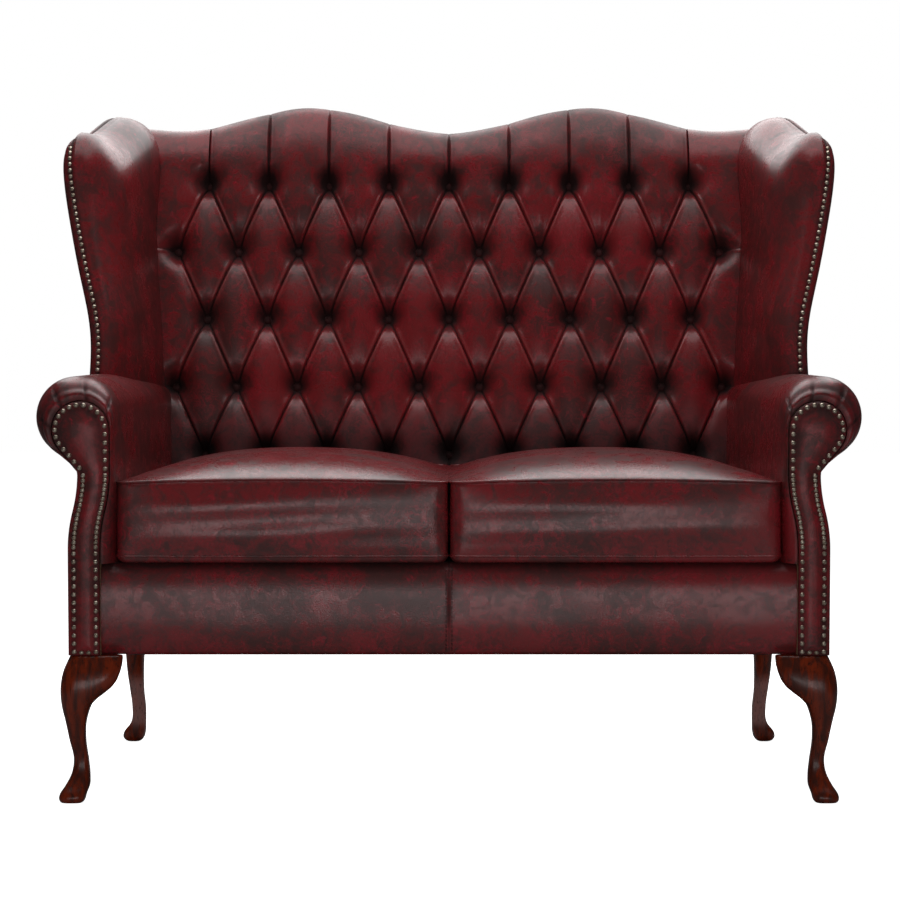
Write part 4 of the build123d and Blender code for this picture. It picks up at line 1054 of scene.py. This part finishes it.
def buildCushion(side):
    x, y, s, t = cushionPlan()
    crown = (1 - np.abs(2 * s - 1) ** 2.8) * (1 - np.abs(2 * t - 1) ** 5.0)
    bow = seat["bow"] * (1 - np.abs(2 * s - 1) ** 2)
    top = cushionAt(x, y, seat["seam"] + bow + seat["start"] * seat["crown"] * np.clip(crown, 0, 1))
    loopX = border1D(x)
    loopY = border1D(y)
    loopBow = border1D(bow)
    rows = []
    for level in np.linspace(0, 1, seat["levels"]):
        z = seat["lowSeam"] + (seat["seam"] + loopBow - seat["lowSeam"]) * level
        row = cushionAt(loopX, loopY, z)
        swollen = (1 - np.abs(2 * level - 1) ** 2.4) * (1 - np.abs(2 * border1D(s) - 1) ** 6)
        row[:, 1] -= seat["pillow"] * swollen * (loopY < 0.02)
        rows.append(row)
    foot = [cushionAt(0.5 + (loopX - 0.5) * k, 0.5 + (loopY - 0.5) * k, seat["low"] + rise)
            for k, rise in ((0.975, 0.0), (0.987, 0.0022), (0.997, 0.0060))]
    under = cushionAt(0.5 + (x - 0.5) * 0.975, 0.5 + (y - 0.5) * 0.975, seat["low"])
    gather = Gather()
    gather.sheet(top)
    gather.sheet(np.array(foot + rows), wrap=True)
    gather.sheet(under, flip=True)
    if side == "left":
        gather = gather.mirrored()
    obj = makePiece(f"seat_cushion_{side}", gather, seatLeather, "oxblood_leather", body=f"cushion_{side}",
                    replaced=[f"cushion_cover_{side}", f"cushion_core_{side}"], fill=0.65, weld=0.0004)
    seamRows = [rows[-1], rows[0]]
    if side == "left":
        seamRows = [row * np.array((-1, 1, 1)) for row in seamRows]
    swell(obj, seamRows)
    dressCushion(obj, side)
    welts = Gather()
    for row in seamRows:
        welts.tube(row, seat["welt"], 8, closed=True)
    makePiece(f"seat_welts_{side}", welts, seatLeather, "oxblood_leather", body=f"cushion_{side}")


# Cloth under pressure, held along its seams and underneath, with the movement capped
def swell(obj, seams):
    before = readPoints(obj.data)
    gap = np.full(len(before), 1.0)
    for row in seams:
        for block in np.array_split(np.arange(len(before)), 24):
            gap[block] = np.minimum(gap[block], np.linalg.norm(before[block, None] - row[None], axis=2).min(1))
    held = (before[:, 2] < seat["low"] + 0.0065) | (gap < 0.0006)
    group = obj.vertex_groups.new(name="held")
    group.add([int(index) for index in np.flatnonzero(held)], 1.0, "REPLACE")
    cloth = obj.modifiers.new("swell", "CLOTH")
    for key, value in swelling.items():
        setattr(cloth.settings, key, value)
    cloth.settings.effector_weights.gravity = 0
    cloth.collision_settings.use_collision = False
    cloth.collision_settings.use_self_collision = False
    for step in range(1, 21):
        scene.frame_set(step)
    after = readPoints(obj.evaluated_get(bpy.context.evaluated_depsgraph_get()).data)
    obj.modifiers.remove(cloth)
    scene.frame_set(1)
    move = after - before
    size = np.linalg.norm(move, axis=1)
    print("cushion swell: median", round(float(np.median(size)), 4), "largest", round(float(size.max()), 4))
    move *= (np.minimum(size, seat["cap"]) / (size + 1e-12) * smoothStep(gap / 0.05))[:, None]
    writePoints(obj.data, before + move)
    obj.vertex_groups.clear()


# x, z, half length, half height and depth of each crease
creases = dict(left=((-0.36, 0.452, 0.15, 0.015, 0.0028), (-0.20, 0.437, 0.20, 0.018, -0.0036),
                     (-0.33, 0.408, 0.14, 0.015, 0.0028), (-0.12, 0.405, 0.10, 0.014, -0.0026)),
               right=((0.20, 0.450, 0.17, 0.015, 0.0028), (0.12, 0.434, 0.15, 0.017, -0.0034),
                      (0.30, 0.420, 0.20, 0.017, 0.0030), (0.10, 0.400, 0.09, 0.013, -0.0024)))


# Keeps clear of the neighbours, then presses a few soft level creases into the front
def dressCushion(obj, side):
    points = readPoints(obj.data)
    sign = -1 if side == "left" else 1
    x, y, z = points.T
    x[:] = sign * np.clip(x * sign, seat["inner"] - 0.0008, armInner(y) - seat["gap"] + 0.001)
    y[:] = np.clip(y, seat["front"] - 0.0125, backFaceY(z, seat["rear"] - 0.0005))
    face = smoothStep((-0.372 - y) / 0.010)
    span = smoothStep((z - seat["lowSeam"] - 0.004) / 0.02) * smoothStep((seat["seam"] - 0.002 - z) / 0.02)
    for atX, atZ, wide, tall, deep in creases[side]:
        slope = 0.03 * (x - atX)
        y -= deep * face * span * bell(x - atX, wide) * bell(z - atZ - slope, tall)
    writePoints(obj.data, points)


buildCushion("left")
buildCushion("right")
print("cushions ready")


# Legs: turned by loft, blended with the ear by remeshing
# rise, sweep and size of each station, and the outline of the ear
frontLeg = dict(x=0.552, y=-0.369, size=0.060, sweep=0.026, relax=5,
                ear=((0.500, 0.000), (0.5005, 0.012), (0.503, 0.024), (0.508, 0.037), (0.516, 0.048), (0.527, 0.057),
                     (0.538, 0.065), (0.548, 0.075), (0.556, 0.090)),
                stations=((1.0, 0.0, 1.0), (0.885, 0.31, 1.08), (0.78, 0.5, 1.03), (0.665, 0.73, 0.76), (0.555, 0.77, 0.54),
                          (0.43, 0.69, 0.43), (0.27, 0.5, 0.39), (0.185, 0.54, 0.48), (0.11, 0.71, 0.62), (0.05, 0.96, 0.68),
                          (0.018, 1.0, 0.66), (0.0, 1.0, 0.56)))
# rise, sweep out, sweep back and size
rearLeg = dict(x=0.548, y=0.1906, size=0.044, sweep=0.050, relax=4,
               stations=((1.0, 0.0, 0.0, 1.0), (0.8, 0.0, 0.06, 0.80), (0.56, 0.0, 0.22, 0.65), (0.41, -0.03, 0.41, 0.56),
                         (0.29, -0.07, 0.58, 0.55), (0.15, -0.02, 0.80, 0.61), (0.065, 0.135, 0.95, 0.87),
                         (0.026, 0.165, 0.99, 0.80), (0.009, 0.165, 1.0, 0.64), (0.0, 0.165, 1.0, 0.46)))
legVoxel = 0.0022


# Smooth curve through stations, with slopes from the neighbours
def curveThrough(at, values, where):
    order = np.argsort(at)
    at = np.asarray(at)[order]
    values = np.asarray(values)[order]
    slope = np.gradient(values, at)
    index = np.clip(np.searchsorted(at, where, "right") - 1, 0, len(at) - 2)
    gap = at[index + 1] - at[index]
    t = (where - at[index]) / gap
    return ((2 * t ** 3 - 3 * t ** 2 + 1) * values[index] + (t ** 3 - 2 * t ** 2 + t) * gap * slope[index]
            + (3 * t ** 2 - 2 * t ** 3) * values[index + 1] + (t ** 3 - t ** 2) * gap * slope[index + 1])


def squareRing(size, count):
    turn = np.linspace(0, 2 * np.pi, count, endpoint=False)
    c, s = np.cos(turn), np.sin(turn)
    return size / 2 * np.stack([np.sign(c) * np.abs(c) ** 0.62, np.sign(s) * np.abs(s) ** 0.62], -1)


def loftLeg(leg, outSteps, backSteps, sizes, rises):
    height = np.linspace(0, 1, 90)
    x = leg["x"] + leg["sweep"] * curveThrough(rises, outSteps, height)
    y = leg["y"] + leg["sweep"] * curveThrough(rises, backSteps, height)
    size = leg["size"] * curveThrough(rises, sizes, height)
    rows = []
    for k in range(len(height)):
        ring = squareRing(size[k], 40)
        rows.append(np.stack([x[k] + ring[:, 0], y[k] + ring[:, 1], np.full(40, legTop * height[k])], -1))
    gather = Gather()
    gather.sheet(np.array(rows), wrap=True)
    gather.cap(rows[0], flip=True)
    gather.cap(rows[-1])
    return gather


# One closed piece from overlapping solids: voxel remesh, then smoothing, applied to the mesh
def blended(name, gather, rounds, replaced, look):
    mesh = bpy.data.meshes.new(name)
    mesh.from_pydata(np.concatenate(gather.points).tolist(), [], gather.faces)
    obj = newObject(name, mesh)
    merge = obj.modifiers.new("merge", "REMESH")
    merge.mode = "VOXEL"
    merge.voxel_size = legVoxel
    relax = obj.modifiers.new("relax", "SMOOTH")
    relax.factor = 0.5
    relax.iterations = rounds
    shaped = bpy.data.meshes.new_from_object(obj.evaluated_get(bpy.context.evaluated_depsgraph_get()))
    obj.modifiers.clear()
    obj.data = shaped
    bpy.data.meshes.remove(mesh)
    shaped.name = name
    points = readPoints(shaped)
    points[:, 2] = np.clip(points[:, 2], 0.0, legTop - 0.0002)
    writePoints(shaped, points)
    shaped.polygons.foreach_set("use_smooth", [True] * len(shaped.polygons))
    shaped.materials.clear()
    shaped.materials.append(look)
    settle(obj, replaced=[replaced])


def legPair(row, node, gather, rounds, look):
    for side, shape in (("left", gather.mirrored()), ("right", gather)):
        blended(f"{row}_leg_{side}", shape, rounds, f"leg_{node}_{side}", look)


def buildLegs():
    leg = frontLeg
    at, swings, sizes = zip(*leg["stations"])
    gather = loftLeg(leg, swings, [-swing for swing in swings], sizes, at)
    edge = resample(np.array(leg["ear"]), 30)
    rises = np.clip(1 - edge[:, 1] / legTop, 0, 1)
    out = leg["sweep"] * curveThrough(at, swings, rises)
    wide = leg["size"] * curveThrough(at, sizes, rises)
    rows = []
    for k in range(len(edge)):
        tip = edge[k, 0]
        root = leg["x"] + out[k]
        face = leg["y"] - out[k] - wide[k] / 2
        t = np.linspace(0, np.pi, 17)
        x = root - (root - tip) * np.sin(t) ** 0.8
        y = face + 0.0005 + 0.036 * (0.5 - 0.5 * np.cos(t))
        rows.append(np.stack([x, y, np.full(17, legTop - edge[k, 1])], -1))
    gather.sheet(np.array(rows[::-1]), wrap=True)
    gather.cap(rows[0])
    gather.cap(rows[-1], flip=True)
    legPair("front", "front", gather, leg["relax"], mahogany)
    leg = rearLeg
    at, outs, swings, sizes = zip(*leg["stations"])
    legPair("rear", "back", loftLeg(leg, outs, swings, sizes, at), leg["relax"], paintedSheenMahogany)


buildLegs()
print("legs ready")


# Outside back: one stretched panel with a welt round its edge
outside = dict(low=0.006, half=0.5820, neck=0.5670, pinch=0.0078, top=0.6050, swell=0.005, face=-0.0302, welt=0.0028,
               below=0.018, turnIn=0.006)


def outsideHalf(v):
    low = outside["half"] - neckShift(legTop + v * cosRake)
    waist = low - outside["pinch"] * np.clip((v - 0.2874) / 0.0882, 0, 1)
    return waist + (outside["top"] - outside["neck"] + outside["pinch"]) * np.clip((v - 0.3756) / 0.5044, 0, 1)


def buildOutsideBack():
    t, s = np.meshgrid(eased(70), 2 * eased(90) - 1, indexing="ij")
    lower = outside["low"]
    v = lower + (0.872 - lower) * t
    u = s * outsideHalf(v)
    upper = crest(u) - outside["below"] + 0.019 * smoothStep((np.abs(u) - 0.535) / 0.05)
    v = lower + (upper - lower) * t
    edge = (1 - np.abs(s) ** 14) * (1 - np.abs(2 * t - 1) ** 14)
    w = outside["face"] - outside["swell"] * edge
    grid = onBack(u, v, w)
    rim = border1D(grid)
    tucked = rim + onBack(0, 0, outside["turnIn"]) - onBack(0, 0, 0)
    gather = Gather()
    gather.sheet(grid)
    gather.sheet(np.array([rim, tucked]), wrap=True)
    makePiece("outside_back_leather", gather, panelLeather, "oxblood_leather", replaced=["outside_back"], fill=0.9)
    welt = Gather()
    welt.tube(rim + onBack(0, 0, -0.0008) - onBack(0, 0, 0), outside["welt"], 8, closed=True)
    makePiece("outside_back_welt", welt, panelLeather, "oxblood_leather")


buildOutsideBack()

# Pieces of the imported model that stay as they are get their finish
innerFinish = dict(seat_deck=lining, dust_cover=lining, seat_webbing=jute, back_webbing=jute, leg_bolts=steel)
timberWords = ("rail", "upright", "post", "corner_blocks", "wing_board")
for name, obj in nodes.items():
    look = beech if any(word in name for word in timberWords) else innerFinish.get(name)
    if look:
        obj.data.materials.clear()
        obj.data.materials.append(look)
print("other finishes ready")


# Floor, light and camera
def buildStage():
    work = bmesh.new()
    bmesh.ops.create_grid(work, x_segments=8, y_segments=8, size=12.0)
    mesh = bpy.data.meshes.new("studio_floor")
    work.to_mesh(mesh)
    work.free()
    floor = newObject("studio_floor", mesh)
    look, tree, shader, spot = newMaterial("paleFloor")
    seen = addNode(tree, "LightPath").outputs["Is Camera Ray"]
    pale = {"Vector": spot, "Scale": 3.0, "Low": (0.985, 0.985, 0.985, 1), "High": (1, 1, 1, 1)}
    tone = useGroup(tree, unevenTone, pale)
    ground = mixColour(tree, seen, (0.28, 0.28, 0.28, 1), tone.outputs["Colour"])
    feed(tree, shader, {"Base Color": ground, "Emission Color": tone.outputs["Colour"], "Roughness": 0.9,
                        "Emission Strength": times(tree, seen, 1.01), "Specular IOR Level": 0.1})
    mesh.materials.append(look)


def addLight(name, place, target, size, energy):
    data = bpy.data.lights.new(name, "AREA")
    data.shape = "RECTANGLE"
    data.size, data.size_y = size
    data.energy = energy
    lamp = newObject(name, data)
    lamp.location = place
    lamp.rotation_euler = (Vector(target) - Vector(place)).to_track_quat("-Z", "Y").to_euler()
    return lamp


buildStage()
# place, target, size and power of each light
lights = dict(overhead=((0.0, -0.2, 3.0), (0.0, -0.1, 0.5), (3.4, 2.5), 46),
              rear=((0.0, 1.9, 2.6), (0.0, -0.2, 0.6), (3.4, 2.2), 63),
              front=((0.0, -5.0, 0.40), (0.0, 0.0, 0.4), (3.2, 0.75), 15.5),
              fill=((0.0, -4.2, 0.22), (0.0, 0.0, 0.4), (4.0, 0.4), 31))
for name, values in lights.items():
    addLight(name, *values).visible_glossy = name != "fill"
world = bpy.data.worlds.new("studio")
world.use_nodes = True
tree = world.node_tree
tree.nodes.clear()
path = addNode(tree, "LightPath")
seen = addNode(tree, "Background", {"Color": (1, 1, 1, 1), "Strength": 1.0})
lit = addNode(tree, "Background", {"Color": (1, 1, 1, 1), "Strength": 0.04})
both = addNode(tree, "MixShader", {0: path.outputs["Is Camera Ray"], 1: lit.outputs[0], 2: seen.outputs[0]})
addNode(tree, "OutputWorld", {"Surface": both.outputs[0]})
scene.world = world
scene.view_settings.view_transform = "Standard"

view = dict(lens=109.45, sensor=36.0, shift=(0.0011, 0.0012), place=(0.0, -4.567, 0.715), tilt=2.42)
lens = bpy.data.cameras.new("camera")
lens.lens = view["lens"]
lens.sensor_width = view["sensor"]
lens.shift_x, lens.shift_y = view["shift"]
camera = newObject("camera", lens)
camera.location = view["place"]
camera.rotation_euler = (math.radians(90 - view["tilt"]), 0.0, 0.0)
scene.camera = camera
